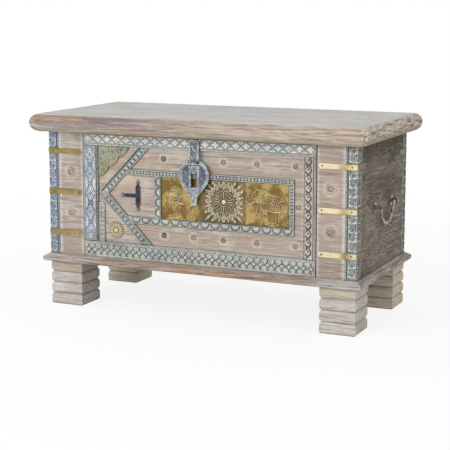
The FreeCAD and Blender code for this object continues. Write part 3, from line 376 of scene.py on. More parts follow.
def base_bands(mix, streaks, fine):
    """The base is grey with thick wash near its corners and bare and warm between them."""
    corner = mix.ramp(mix.aside(), 0.26, 0.42)
    warm = mix.noise(60, 5, grain=2, warp=0.5, shift=6.1)
    mix.lay((172, 136, 106), 0.7, (warm, 0.46, 0.6), (corner, 0.6, 0.0))
    mix.lay((198, 195, 192), 0.75, corner, (streaks, 0.4, 0.56))
    mix.lay((84, 70, 62), 0.6, (fine, 0.54, 0.62))


# Carving tools: flat outlines in mm on a panel, raised into chips

class Panel:
    """A flat face of the chest; places on it are mm across, up and out from its lower left corner."""

    def __init__(self, corner, across, up=UP, width=0.0, height=0.0):
        self.corner, self.across, self.up = Vector(corner), Vector(across), Vector(up)
        self.out = self.across.cross(self.up)
        self.width, self.height = width, height

    def at(self, x, y, z=0.0):
        return self.corner + (self.across * x + self.up * y + self.out * z) * MM

    def level(self, heights, width, margin=0.6):
        """Lines that run across it at the given heights."""
        return [bar(margin, y, self.width - margin, y, width) for y in heights]

    def upright(self, places, width, margin=0.6):
        """Lines that run up it at the given places."""
        return [bar(x, margin, x, self.height - margin, width) for x in places]


def front_of(node):
    low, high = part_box(node)
    return Panel(low, RIGHT, UP, (high.x - low.x) / MM, (high.z - low.z) / MM)


def end_of(node, side):
    """The face of a node that looks to the right (side 1) or to the left (side -1)."""
    low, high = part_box(node)
    corner = (high.x, low.y, low.z) if side > 0 else (low.x, high.y, low.z)
    return Panel(corner, BACK * side, UP, (high.y - low.y) / MM, (high.z - low.z) / MM)


def row(start, end, pitch):
    """Evenly spaced centres that fill a length at about the given pitch."""
    count = max(1, round((end - start) / pitch))
    return [start + (end - start) * (place + 0.5) / count for place in range(count)]


def turned(points, x, y, angle=0.0):
    """Points turned by an angle in degrees and moved to x, y."""
    cosine, sine = math.cos(math.radians(angle)), math.sin(math.radians(angle))
    return [(x + px * cosine - py * sine, y + px * sine + py * cosine) for px, py in points]


def spoke(x, y, reach, angle):
    """The point so far from x, y at an angle in degrees."""
    return x + reach * math.cos(math.radians(angle)), y + reach * math.sin(math.radians(angle))


def arc(radius, start, end, steps):
    """Points on an arc between two angles in degrees."""
    return [spoke(0, 0, radius, start + (end - start) * step / steps) for step in range(steps + 1)]


def disc(x, y, radius, sides=10):
    return turned(arc(radius, 0, 360 - 360 / sides, sides - 1), x, y)


def half_disc(x, y, radius, facing, depth):
    """A half disc whose flat side is centred on x, y and whose round side faces an angle in degrees."""
    return turned([(px * depth / radius, py) for px, py in arc(radius, -90, 90, 8)], x, y, facing)


def star(x, y, reach_x, reach_y, power, sides=16):
    """A four pointed star with sides the more hollow the higher the power."""
    def hollow(share):
        return math.copysign(abs(share) ** power, share)

    corners = arc(1, 0, 360 - 360 / sides, sides - 1)
    return [(x + reach_x * hollow(px), y + reach_y * hollow(py)) for px, py in corners]


def diamond(x, y, reach_x, reach_y):
    return [(x + reach_x, y), (x, y + reach_y), (x - reach_x, y), (x, y - reach_y)]


def petal(x, y, length, width, angle, foot=0.0):
    """A leaf shape that points away from x, y at an angle in degrees, its foot so far from there."""
    shares = [step / 5 for step in range(6)]
    edge = [(foot + length * share, width / 2 * math.sin(math.pi * share) ** 0.8) for share in shares]
    return turned(edge + [(px, -py) for px, py in reversed(edge[1:-1])], x, y, angle)


def blossom(x, y, foot, length, width, count, first=0):
    """Petals all round a centre, their feet so far from it, the first one at the given angle."""
    return [petal(x, y, length, width, first + 360 * place / count, foot) for place in range(count)]


def ribbon(spine, widths):
    """A stroke along a line of points, as wide at each point as the widths say."""
    left, right = [], []
    for place, (x, y) in enumerate(spine):
        before, after = spine[max(place - 1, 0)], spine[min(place + 1, len(spine) - 1)]
        run_x, run_y = after[0] - before[0], after[1] - before[1]
        half = widths[place] / 2 / math.hypot(run_x, run_y)
        left.append((x - run_y * half, y + run_x * half))
        right.append((x + run_y * half, y - run_x * half))
    return right + left[::-1]


def bar(x0, y0, x1, y1, width):
    return ribbon([(x0, y0), (x1, y1)], [width, width])


def dashes(spots, reach_x, reach_y, width):
    """Short bars centred on the spots, each reaching so far to the right and up and as far back."""
    return [bar(x - reach_x, y - reach_y, x + reach_x, y + reach_y, width) for x, y in spots]


def bow(x, y, reach_x, reach_y, start, end, width, steps):
    """Part of an oval ring between two angles in degrees."""
    spine = [(x + px * reach_x, y + py * reach_y) for px, py in arc(1, start, end, steps)]
    return ribbon(spine, [width] * (steps + 1))


def curl(x, y, radius, start, sweep, width, steps=12):
    """A scroll that winds in from its outer end and thins towards the eye."""
    shares = [step / steps for step in range(steps + 1)]
    spine = [spoke(x, y, radius * (1 - 0.72 * share), start + sweep * share) for share in shares]
    return ribbon(spine, [width * (1 - 0.5 * share) for share in shares])


def shaken(outline, amount):
    """The same outline a little off, as a hand would cut it."""
    x, y = (sum(axis) / len(outline) for axis in zip(*outline))
    reach = max(math.hypot(px - x, py - y) for px, py in outline)
    size = 1 + hand.uniform(-amount, amount) / reach
    move_x, move_y = hand.uniform(-amount, amount), hand.uniform(-amount, amount)
    return [(x + move_x + (px - x) * size, y + move_y + (py - y) * size) for px, py in outline]


# Steps of a chip's top: how far each ring goes in, how far it lifts, and which finish it wears; the ground
# finish on walls, chamfers and sunk rings is partly the cut ground's dark paint and partly painted shade that
# outlines each chip
WASH, GROUND_AND_SHADE, INK, PAINTED_SHINE = range(4)
CHIP = ((0.5, 0.4, GROUND_AND_SHADE),)
FINE = ((0.3, 0.3, WASH),)
RING = ((0.45, 0.4, GROUND_AND_SHADE), (1.0, 0.0, WASH), (0.7, -0.7, GROUND_AND_SHADE), (0.5, 0.6, GROUND_AND_SHADE))
DOME = ((0.5, 0.5, WASH), (0.7, 0.35, WASH), (0.9, 0.2, WASH))
LINE = ((0.25, 0.1, INK),)
# painted highlight: a pale step in the fourth finish
PAINTED_GLINT = ((0.3, 0.2, PAINTED_SHINE),)
NAIL = ((0.5, 0.5, WASH), (0.8, 0.4, WASH), (0.9, 0.2, WASH))
# painted shade: a hole's sunk middle wears the dark third finish
HOLE = ((0.4, 0.4, WASH), (0.9, 0.0, WASH), (0.3, -0.7, INK))


def raise_chips(mesh, panel, outlines, height, steps=CHIP, loose=0.25):
    """Adds a solid for each outline: a wall from inside the wood, then one inset ring a step."""
    bases = []
    for outline in outlines:
        points = shaken(outline, loose)
        face = mesh.faces.new([mesh.verts.new(panel.at(x, y, -SINK)) for x, y in points])
        face.normal_update()
        if face.normal.dot(panel.out) < 0:
            face.normal_flip()
        bases.append(face)
    grown = bmesh.ops.extrude_face_region(mesh, geom=bases, use_keep_orig=True)["geom"]
    tops = [part for part in grown if isinstance(part, bmesh.types.BMFace)]
    lifted = [part for part in grown if isinstance(part, bmesh.types.BMVert)]
    climb = sum(rise for inset, rise, coat in steps)
    bmesh.ops.translate(mesh, verts=lifted, vec=panel.out * (SINK + height - climb) * MM)
    # painted shade in part: each chip's walls wear the cut ground's darker finish, which draws a dark outline
    # round it
    for face in tops:
        face.normal_update()
        for edge in face.edges:
            for wall in edge.link_faces:
                wall.material_index = GROUND_AND_SHADE
    for inset, rise, coat in steps:
        rings = bmesh.ops.inset_individual(mesh, faces=tops, thickness=inset * MM, depth=rise * MM)["faces"]
        for ring in rings:
            ring.material_index = coat
    # a top that ends sunk wears the ground finish: the ground's dark paint and painted shade in the hollow
    for face in tops:
        face.material_index = INK if coat == INK else GROUND_AND_SHADE if rise < 0 else WASH


def piece_of(mesh, name, body, coats):
    """Closes the modelling of a piece and hangs it on its body."""
    bmesh.ops.recalc_face_normals(mesh, faces=mesh.faces)
    data = bpy.data.meshes.new(name)
    mesh.to_mesh(data)
    mesh.free()
    for coat in coats.split():
        data.materials.append(finish[coat])
    piece = bpy.data.objects.new(name, data)
    bpy.context.scene.collection.objects.link(piece)
    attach(piece, body)
    return piece


def carve(name, panel, layers, coats, loose=0.25, body="chest"):
    """One piece of carving: each layer is a list of outlines, a height and its steps."""
    mesh = bmesh.new()
    for outlines, height, steps in layers:
        raise_chips(mesh, panel, outlines, height, steps, loose)
    piece_of(mesh, name, body, coats)


def centres_of(node):
    """The middle of each separate solid of a node."""
    mesh = bmesh.new()
    mesh.from_mesh(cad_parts[node].data)
    bmesh.ops.remove_doubles(mesh, verts=mesh.verts, dist=MM / 100)
    left, middles = set(mesh.verts), []
    while left:
        solid, reached = [], [left.pop()]
        while reached:
            vert = reached.pop()
            solid.append(vert.co.copy())
            for edge in vert.link_edges:
                other = edge.other_vert(vert)
                if other in left:
                    left.remove(other)
                    reached.append(other)
        middles.append(Vector([(min(axis) + max(axis)) / 2 for axis in zip(*solid)]))
    mesh.free()
    return sorted(middles, key=lambda place: (round(place.z, 3), place.x))


# Which finish each solid wears

LIME, PINK = (202, 195, 184), (175, 158, 149)
SCRAPED = ((62, 51, 44), (116, 102, 92), (176, 166, 154))
ZINC = ((124, 134, 138), (184, 192, 196), (82, 88, 86))

finish = {
    "stile": limed_wood("limed_stile_wood", 0, (176, 158, 144), LIME, PINK, (126, 108, 98),
                        more=rosette_halos),
    "field": limed_wood("limed_field_wood", 0, (178, 160, 144), LIME, PINK, (132, 112, 100),
                        more=field_halos),
    "lid": limed_wood("limed_lid_wood", 0, (190, 186, 180), (210, 210, 208), (192, 184, 178), (138, 132, 126),
                      cover=0.6, cloudy=0.15, more=lid_nose),
    "batten": limed_wood("bare_batten_wood", 1, (146, 126, 106), (164, 146, 126), (138, 116, 98),
                         (96, 80, 66), edge=0.2),
    "panel": scraped_wood("scraped_side_wood", 1, *SCRAPED, lean=-0.025, seam=0.4),
    "back": scraped_wood("scraped_back_wood", 0, *SCRAPED, seam=0.8),
    "back_post": scraped_wood("scraped_post_wood", 2, (58, 50, 44), (108, 98, 88), (180, 174, 162)),
    "base": limed_wood("limed_base_wood", 0, (162, 146, 132), (186, 182, 175), (166, 148, 141), (90, 72, 62),
                       cover=0.45, more=base_bands),
    "base_end": limed_wood("limed_base_end_wood", 1, (154, 140, 126), (196, 194, 186), (140, 128, 122),
                           (72, 60, 54), cloudy=0.2, more=base_end_streaks),
    "foot": limed_wood("limed_foot_wood", 0, (182, 171, 161), (205, 202, 199), (188, 176, 169),
                       (126, 117, 110), cover=0.6, more=foot_layers),
    "strap_brass": aged_brass("strap_brass", (204, 182, 122), (160, 138, 80), (84, 70, 40),
                              more=strap_painted_light),
    "plate_brass": aged_brass("plate_brass", (182, 156, 96), (124, 98, 52), (62, 46, 26),
                              field_face - 0.0019, (236, 220, 172)),
    "lotus_brass": aged_brass("lotus_brass", (142, 122, 82), (104, 88, 56), (40, 32, 22),
                              field_face - 0.0017, (228, 220, 194)),
    "nail_brass": aged_brass("nail_brass", (150, 130, 74), (110, 94, 52), (60, 50, 30)),
    "iron": old_iron("black_iron", (32, 36, 46), (58, 66, 78), (60, 50, 44), 0.5, 0.5),
    "grey_iron": old_iron("zinc_grey_iron", *ZINC),
    "stud_iron": old_iron("worn_stud_iron", (88, 86, 80), (142, 138, 130), (48, 44, 40), 0.3),
    "bail_iron": old_iron("worn_bail_iron", (110, 104, 90), (196, 190, 174), (62, 54, 44), 0.5, 0.42),
    "strap_iron": old_iron("zinc_grey_strap", *ZINC, deep=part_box("hasp_strap")[0].y + 0.0020, scuffs=0.9),
    "disc_iron": old_iron("zinc_grey_disc", *ZINC, deep=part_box("hasp_disc")[0].y + 0.0026),
}
for name, *coats in (
    ("wash", (221, 222, 216), (200, 206, 204), (132, 137, 134)),
    ("blue_wash", (203, 210, 218), (174, 184, 197), (104, 114, 127)),
    ("dim_wash", (200, 202, 194), (172, 178, 174), (112, 116, 112)),
    ("olive_wash", (192, 192, 174), (164, 166, 146), (106, 108, 88)),
    ("cream_wash", (226, 214, 170), (208, 194, 146), (150, 136, 90)),
    ("beige_wash", (214, 204, 186), (192, 180, 164), (138, 124, 108)),
    ("ink", (60, 62, 64), (82, 85, 86), (128, 127, 121), 0.5),
):
    finish[name] = carved_wash(f"carving_{name}", *coats)
for name, *coats in (
    ("recess", (97, 102, 99), (160, 164, 160)),
    ("pale_recess", (130, 134, 130), (192, 192, 184), 0.95),
    ("blue_recess", (86, 95, 108), (152, 161, 173), 0.95),
    ("dark_recess", (74, 78, 76), (134, 138, 134)),
    ("olive_recess", (104, 104, 84), (162, 161, 136)),
    ("beige_recess", (150, 141, 132), (204, 195, 184), 0.5),
    ("rose_recess", (106, 92, 78), (160, 146, 128)),
):
    finish[name] = carved_recess(f"carving_{name}", *coats)

# A node wears what stands beside the first of these that its name starts with
WEARS = (
    ("lid_panel", "lid"), ("lid_batten", "batten"), ("front_stile", "stile"), ("front_board", "field"),
    ("corner_post_back", "back_post"), ("corner_post_front_left", "blue_recess"), ("corner_post", "recess"),
    ("chevron", "recess"), ("inner_strip_top", "recess"), ("inner_strip", "pale_recess"),
    ("carved_rail", "pale_recess"), ("carved_stile_left", "recess"), ("leaf_spandrel", "olive_recess"),
    ("side_board", "panel"), ("back_board", "back"), ("bottom_board", "back"), ("foot", "foot"),
    ("base_moulding_front", "base"), ("base_moulding_back", "base"), ("base_moulding", "base_end"),
    ("brass_straps", "strap_brass"), ("brass_plate", "plate_brass"), ("iron", "iron"), ("hinge", "iron"),
    ("hasp_disc", "disc_iron"), ("hasp_strap", "strap_iron"), ("hasp", "grey_iron"), ("handle", "bail_iron"),
    ("", "beige_recess"),
)
for node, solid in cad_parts.items():
    coat = next(coat for start, coat in WEARS if node.startswith(start))
    for slot in solid.material_slots:
        slot.material = finish[coat]


# Carved frame round the front

def top_rail():
    """Hollow sided stars between half discs, over a thin row of dots."""
    panel = front_of("carved_rail_top")
    low, high = 5.4, panel.height - 2.6
    centres = row(1, panel.width - 1, 29.6)
    pitch = centres[1] - centres[0]
    stars = [star(x, (low + high) / 2, pitch * 0.475, (high - low) * 0.475, 2.7) for x in centres]
    caps = [half_disc(x + pitch / 2, y, pitch * 0.4, facing, 9.0)
            for y, facing in ((high - 0.4, 270), (low + 0.4, 90)) for x in centres[:-1]]
    dots = [disc(x, 3.4, 1.3, 6) for x in row(2, panel.width - 2, 4.6)]
    carve("top_rail_carving", panel, [
        (stars, 1.0, CHIP), (caps, 0.9, RING), (dots, 0.8, FINE),
        (panel.level((1.1, high + 1.2), 1.5), 0.9, FINE),
    ], "wash pale_recess")


def bottom_rail():
    """One row of diamonds with a dark cut round each and painted highlights along their upper right edges,
    and ticks and seeds.
    """
    panel = front_of("carved_rail_bottom")
    centres = row(2, panel.width - 2, 19.6)
    middle, wide, tall = panel.height * 0.47, (centres[1] - centres[0]) / 2, 9.0
    top, foot = panel.height - 3.4, 3.4
    seeds = ((-3.2, top - 4), (3.0, top - 4.6), (-2.8, foot + 5.4), (3.2, foot + 4.6), (8.6, top - 2.4))
    ticks = [bar(x, middle + tall - 0.4, x, middle + tall + 4.4, 2.1) for x in centres]
    ticks += [bar(x, middle - tall + 0.4, x, middle - tall - 2.8, 2.1) for x in centres]
    carve("bottom_rail_carving", panel, [
        ([diamond(x, middle, wide * 0.99, tall) for x in centres], 0.5, LINE),
        ([diamond(x, middle, wide - 3.3, tall - 2.9) for x in centres], 1.0, CHIP),
        # painted highlight: pale raised bars in the wash finish along each diamond's upper right edge
        ([bar(x + 1.6, middle + tall + 0.4, x + wide - 0.4, middle + 2.0, 2.4) for x in centres], 1.1, PAINTED_GLINT),
        (ticks, 0.7, LINE),
        ([disc(x + step, y, 1.3, 6) for x in centres for step, y in seeds], 0.7, LINE),
        (panel.level((1.2, panel.height - 1.2), 1.2, 1), 0.8, FINE),
    ], "dim_wash pale_recess ink wash")


def left_carved_stile():
    """Tall diamonds with a small dark flower in each, and a pale cross where two of them meet."""
    panel = front_of("carved_stile_left")
    centres = row(1, panel.height - 1, 53.0)
    pitch = centres[1] - centres[0]
    middle, wide, tall, cut = panel.width / 2 - 1.0, 14.6, pitch / 2 - 0.9, 0.24
    corners = ((1, 0), (cut, 1 - cut), (-cut, 1 - cut), (-1, 0), (-cut, cut - 1), (cut, cut - 1))
    facets = [[(middle + across * wide, y + up * tall) for across, up in corners] for y in centres]
    sides, crosses, marks = [], [], []
    for y in centres:
        marks += blossom(middle, y, 1.2, 5.6, 3.8, 4)
        marks += [bar(middle + across * 10.0, y + up * 1.6, middle + across * 2.0, y + up * 14.5, 1.7)
                  for across, up in ((1, 1), (-1, 1), (-1, -1), (1, -1))]
    for y in (centre + pitch / 2 for centre in centres[:-1]):
        crosses += blossom(middle, y, 0.8, 6.0, 3.6, 4)
        for across in (-1, 1):
            rim, inner = (middle + across * (wide + reach) for reach in (0.8, -7.4))
            sides.append([(rim, y - tall * 0.86), (rim, y + tall * 0.86), (inner, y + tall * 0.3),
                          (inner, y - tall * 0.3)])
    edge = dashes([(panel.width - 3.4, y) for y in row(2, panel.height - 2, 7.4)], 0, 2.4, 1.5)
    carve("left_stile_carving", panel, [
        (facets, 1.0, CHIP), (sides, 1.0, CHIP), (crosses, 1.2, CHIP), (marks, 1.25, LINE), (edge, 0.9, LINE),
        (panel.upright((1.3, 3.6, panel.width - 6.4), 1.5), 0.9, FINE),
    ], "blue_wash recess ink")


def right_carved_stile():
    """Dark hooks in a chain on pale ground, each with a leaf at its bend, beside a thin line and teeth."""
    panel = front_of("carved_stile_right")
    bends = ((17.6, 11.5, 1.8), (20.2, 5.0, 3.4), (18.6, -2.6, 4.4), (13.0, -6.6, 4.2), (7.4, -4.4, 3.6),
             (6.2, 0.8, 2.0))
    hooks, leaves = [], []
    for y in row(4, panel.height - 3, 23.6):
        hooks.append(ribbon([(x, y + rise) for x, rise, wide in bends], [wide for x, rise, wide in bends]))
        leaves += [petal(13.4, y - 7.2, 9.4, 4.6, 222), petal(11.4, y + 3.0, 6.6, 4.0, 64),
                   disc(17.0, y + 13.0, 2.3, 8), disc(4.2, y + 7.6, 1.5, 6)]
    teeth = dashes([(31.4, y) for y in row(2, panel.height - 2, 5.6)], 0, 1.5, 1.3)
    carve("right_stile_carving", panel, [
        (hooks, 0.7, LINE), (leaves, 0.8, LINE),
        (panel.upright([1.4], 1.3, 1) + panel.upright([26.4], 1.7, 1), 0.6, LINE), (teeth, 0.6, LINE),
        (panel.upright([3.2], 1.2, 1) + panel.upright([24.0, 28.8], 1.6, 1), 0.9, FINE),
    ], "beige_wash beige_recess ink")


def strap_gaps():
    """The heights on a post, in mm from its foot, that no corner strap covers."""
    floor, top = (corner.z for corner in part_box("corner_post_front_left"))
    marks = [2.0]
    for height in sorted({round(place.z, 4) for place in centres_of("brass_straps_front_left")}):
        marks += [(height - floor) / MM - STRAP_HALF, (height - floor) / MM + STRAP_HALF]
    marks.append((top - floor) / MM - 2.0)
    return list(zip(marks[::2], marks[1::2]))


def post_column(name, panel, inner, coats):
    """Scrolls and leaves climbing a post between its straps, beside dark dashes on the inner edge."""
    def flip(outlines):
        return outlines if inner > 0 else [[(panel.width - x, y) for x, y in outline] for outline in outlines]

    leaves, scrolls, marks, edge, lines = [], [], [], [], []
    for low, high in strap_gaps():
        for place, y in enumerate(row(low + 1, high - 1, 24.0)):
            side = 1 if place % 2 else -1
            scrolls.append(curl(11.0, y + 1.0, 9.6, -90 - 90 * side, side * 330, 3.4, 14))
            leaves += [petal(11.0 - side * 2.0, y - 9.0, 12.0, 5.6, 90 + side * 52),
                       petal(11.0 + side * 5.0, y - 11.5, 11.0, 5.2, 90 - side * 30),
                       petal(11.0 - side * 8.4, y + 4.0, 7.4, 3.8, 90)]
            marks += [disc(11.0 + side * 7.6, y + 8.8, 1.3, 6), disc(11.0 - side * 7.6, y - 9.0, 1.5, 6),
                      disc(11.0, y + 1.4, 1.2, 6)]
        edge += dashes([(24.6, y) for y in row(low, high, 7.4)], 0, 2.0, 2.6)
        for x, width in ((21.4, 1.5), (28.0, 1.4), (30.8, 1.4), (0.9, 1.2)):
            lines.append(bar(x, low, x, high, width))
    carve(name, panel, [
        (flip(scrolls), 1.0, CHIP), (flip(leaves), 1.1, CHIP), (flip(marks), 1.1, LINE),
        (flip(edge), 0.8, LINE), (flip(lines), 1.0, FINE),
    ], coats)


def posts():
    for side, name in ((-1, "left"), (1, "right")):
        coats = "blue_wash blue_recess ink" if side < 0 else "wash recess ink"
        post_column(f"post_front_{name}_carving", front_of(f"corner_post_front_{name}"), -side, coats)
        for end, inner in (("front", side), ("back", -side)):
            panel = end_of(f"corner_post_{end}_{name}", side)
            post_column(f"post_{end}_{name}_side_carving", panel, inner, "dim_wash dark_recess ink")


# Carving laid on the field

def chevron_arm(node, climb):
    """The face of an arm that climbs (1) or falls (-1), and how its level cut ends lean for each mm up."""
    low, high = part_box(node)
    run, rise = high.x - CHEVRON_BREADTH - low.x, high.z - low.z
    start = (low.x + CHEVRON_BREADTH, low.y, low.z) if climb > 0 else (low.x, low.y, high.z)
    along = Vector((run, 0, climb * rise))
    across = along.normalized()
    breadth = CHEVRON_BREADTH / MM * rise / along.length
    return Panel(start, across, (-across.z, 0, across.x), along.length / MM, breadth), -climb * run / rise


def sheared(outlines, lean):
    """Slides outlines along a slanted band whose ends are cut level."""
    return [[(x + y * lean, y) for x, y in outline] for outline in outlines]


def chevrons():
    """Rings under slanted hatching on the upper arm, small flowers between bars on the lower one."""
    arm, lean = chevron_arm("chevron_upper", 1)
    end = arm.width - 3
    places = row(3, end, 14.4)
    hatch = [bar(x, 15.6, x + 3.4, 20.8, 1.7) for x in row(3, end, 4.6)]
    rings = [disc(x + lean * 8.4, 8.4, 5.2, 12) for x in places]
    dots = [disc(x + 7.2 + lean * 8.4, y, 1.1, 6) for x in places[:-1] for y in (5.0, 8.4, 11.8)]
    lines = [bar(1.5, y, end + 1.5, y, 1.3) for y in (1.2, 14.4, 22.0)]
    carve("chevron_upper_carving", arm, [
        (sheared(hatch, lean * 0.92), 0.8, LINE), (rings, 1.0, RING), (dots, 0.8, LINE),
        (sheared(lines, lean), 0.9, FINE),
    ], "wash recess ink")
    arm, lean = chevron_arm("chevron_lower", -1)
    end, middle = arm.width - 3, arm.height / 2
    spots = [x + lean * middle for x in row(3, end, 14.2)]
    flowers = [leaf for x in spots for leaf in blossom(x, middle, 0, 5.4, 3.6, 5)]
    lines = [bar(1.5, y, end + 1.5, y, 1.2) for y in (1.2, 3.4, arm.height - 3.4, arm.height - 1.2)]
    carve("chevron_lower_carving", arm, [
        (flowers, 0.9, FINE), ([disc(x, middle, 1.5, 8) for x in spots], 1.1, LINE),
        (dashes([(x + 7.1, middle) for x in spots[:-1]], 0, 4.6, 1.5), 0.8, LINE),
        (sheared(lines, lean), 0.9, FINE),
    ], "dim_wash dark_recess ink")


def scallops(places, height):
    """Half rounds hanging from the top edge, with a tooth standing between each two."""
    foot, top = 2.4, height - 2.4
    deep, pitch = top - foot, places[1] - places[0]
    gaps = [place + pitch / 2 for place in places[:-1]]
    teeth = [[(x - 5, foot), (x + 5, foot), (x, foot + 6.5)] for x in gaps]
    return [
        ([half_disc(x, top, pitch * 0.32, 270, deep * 0.66) for x in places], 0.9, CHIP),
        ([bow(x, top, pitch * 0.43, deep * 0.94, 180, 360, 1.4, 10) for x in places], 0.8, LINE),
        (teeth, 0.8, FINE),
    ]


def inner_strips():
    """Little rings above the plates, scallops below and to the left, dashes to the right."""
    coats = "dim_wash pale_recess ink"
    top, foot, left, right = (front_of(f"inner_strip_{name}") for name in ("top", "bottom", "left", "right"))
    start = (left.corner.x - top.corner.x) / MM - 72
    places = row(start, top.width - 2, 9.8)
    spots = [(x + 4.9, y) for x in places[:-1] for y in (4.2, top.height - 4.2)]
    carve("inner_top_carving", top, [
        ([disc(x, top.height / 2, 3.9, 10) for x in places], 0.9, RING),
        (dashes(spots, 0, 1.2, 1.5), 0.7, LINE),
        ([bar(start - 3, y, top.width - 0.8, y, 1.3) for y in (0.9, top.height - 0.9)], 0.8, FINE),
    ], "wash recess ink")
    lines = [bar(start - 8, y, foot.width - 0.8, y, 1.1) for y in (0.9, foot.height - 0.9)]
    rounds = scallops(row(start - 6, foot.width - 2, 30.0), foot.height)
    carve("inner_bottom_carving", foot, [*rounds, (lines, 0.8, FINE)], coats)
    lying = Panel(left.at(left.width, 0), UP, -RIGHT, left.height, left.width)
    rounds = [([[(x, left.width - y) for x, y in outline] for outline in outlines], height, steps)
              for outlines, height, steps in scallops(row(1, left.height - 1, 27.0), left.width)]
    lines = lying.level((0.9, left.width - 0.9), 1.1, 0.8)
    carve("inner_left_carving", lying, [*rounds, (lines, 0.8, FINE)], coats)
    spots = row(2, right.height - 2, 8.4)
    carve("inner_right_carving", right, [
        ([bar(4.0, y + 2.4, right.width - 4.0, y + 4.2, 1.7) for y in spots], 0.7, LINE),
        ([petal(4.6, y - 1.6, right.width - 9.2, 3.6, 8) for y in spots], 0.8, FINE),
        (right.upright((1.2, right.width - 1.2), 1.8), 0.8, FINE),
    ], coats)


def circle_strip():
    """Rings up the strip with a small scroll beside each."""
    panel = front_of("circle_strip")
    places = row(2, panel.height - 9, 11.8)
    carve("circle_strip_carving", panel, [
        ([disc(8.2, y, 4.6, 12) for y in places], 0.9, RING),
        ([curl(14.8, y + 1.0, 3.4, 200, 230, 1.6, 8) for y in places], 0.8, FINE),
        ([bar(x, 1, x, panel.height - 1 - x, 1.1) for x in (1.4, 18.0)], 0.8, FINE),
    ], "olive_wash beige_recess")


def leaf_corner():
    """Scrolls and veined leaves in the triangle at the field's upper corner, at so many mm below its top."""
    panel = front_of("leaf_spandrel")
    scrolls = ((17, 19, 14, 150, -400, 3.8), (46, 14, 12, 170, -390, 3.4), (14, 50, 10.5, 120, -380, 3.2),
               (71, 10, 8, 180, -360, 2.8))
    leaves = ((4, 3, -45, 12), (31, 3, -70, 13), (33, 29, -20, 15), (26, 36, -60, 15), (3.5, 33, -75, 12),
              (4.5, 64, -84, 15), (58, 4, -65, 12), (59, 22, 5, 13), (80, 4, -8, 12), (31, 30, 205, 11),
              (15, 68, -50, 9), (44, 2.5, 190, 9), (47, 33, -40, 8), (22, 58, -20, 11), (62, 15, 80, 8),
              (4, 24, -100, 8), (33, 18, 60, 8))
    specks = ((9, 36), (55, 29), (36, 8), (18, 65), (68, 21), (38, 38), (30, 46),
              (17, 19), (46, 14), (14, 50), (71, 10))
    top = panel.height
    carve("leaf_corner_carving", panel, [
        ([curl(x, top - drop, *shape) for x, drop, *shape in scrolls], 1.0, CHIP),
        ([petal(x, top - drop, size, size * 0.5, angle) for x, drop, angle, size in leaves], 1.1, CHIP),
        ([ribbon(turned([(size * 0.2, 0), (size * 0.8, 0)], x, top - drop, angle), [0.9, 0.9])
          for x, drop, angle, size in leaves], 1.25, LINE),
        ([disc(x, top - drop, 1.5, 6) for x, drop in specks], 1.0, LINE),
    ], "olive_wash olive_recess ink")


def bosses(name, node, face, coats, layers):
    """Stands in for a node: each of its solids becomes the same round layers about its middle."""
    mesh = bmesh.new()
    for middle in centres_of(node):
        spot = Panel((middle.x, face, middle.z), RIGHT)
        for outlines, height, steps, loose in layers:
            raise_chips(mesh, spot, outlines, height, steps, loose)
    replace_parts(piece_of(mesh, name, "chest", coats), node)


def roses():
    """The sunflower, the flat roses on the stiles, and the field's small roses and iron studs."""
    bosses("sunflower", "sunflower_boss", field_face, "cream_wash olive_recess", [
        ([disc(0, 0, 15.0, 24)], 1.6, FINE, 0),
        (blossom(0, 0, 7.6, 16.6, 4.3, 18), 3.2, CHIP, 0.1),
        ([disc(0, 0, 7.4, 16)], 3.5, RING, 0),
        ([disc(0, 0, 2.2, 8)], 4.0, DOME, 0),
    ])
    bosses("stile_roses", "stile_rosettes", post_face, "beige_wash rose_recess", [
        ([disc(0, 0, 16.0, 28)], 1.1, ((0.8, 0.6, WASH), (5.0, 0.0, WASH)), 0),
        (blossom(0, 0, 11.8, 3.4, 2.4, 20), 2.4, FINE, 0.1),
        # the sunk ring wears the ground finish: the ground's dark paint and painted shade in the groove
        ([disc(0, 0, 10.2, 24)], 2.9, ((0.5, 0.5, WASH), (1.2, 0, WASH), (0.5, -1.0, GROUND_AND_SHADE)), 0),
        (blossom(0, 0, 1.4, 6.6, 3.6, 4, 45), 2.9, CHIP, 0.1),
        ([disc(0, 0, 1.9, 8)], 3.8, DOME, 0),
    ])
    small = [
        # the sunk ring wears the ground finish: the ground's dark paint and painted shade in the groove
        ([disc(0, 0, 7.0, 18)], 2.2, ((0.5, 0.5, WASH), (0.9, 0, WASH), (0.4, -1.0, GROUND_AND_SHADE)), 0),
        (blossom(0, 0, 0.6, 4.2, 2.2, 4, 45), 2.0, FINE, 0.1),
        ([disc(0, 0, 1.4, 8)], 2.6, FINE, 0),
    ]
    bosses("field_roses", "field_rosettes", field_face, "beige_wash rose_recess", small)
    bosses("field_iron_studs", "iron_studs", field_face, "iron stud_iron", small)


# Small metal parts, placed on panels that start at the chest's own zero

def ornament_buds():
    """Pale diamonds set in the three bud ends of the iron T."""
    low, high = (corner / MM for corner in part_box("iron_ornament"))
    buds = [(high.x - 7, low.z + 6), (high.x - 7, high.z - 6), (low.x + 6, (low.z + high.z) / 2)]
    carve("ornament_buds", Panel((0, low.y * MM, 0), RIGHT), [
        ([diamond(x, z, 4.4, 4.8) for x, z in buds], 0.7, CHIP),
        ([diamond(x, z, 1.5, 1.7) for x, z in buds], 0.9, LINE),
    ], "grey_iron iron iron", 0.1)


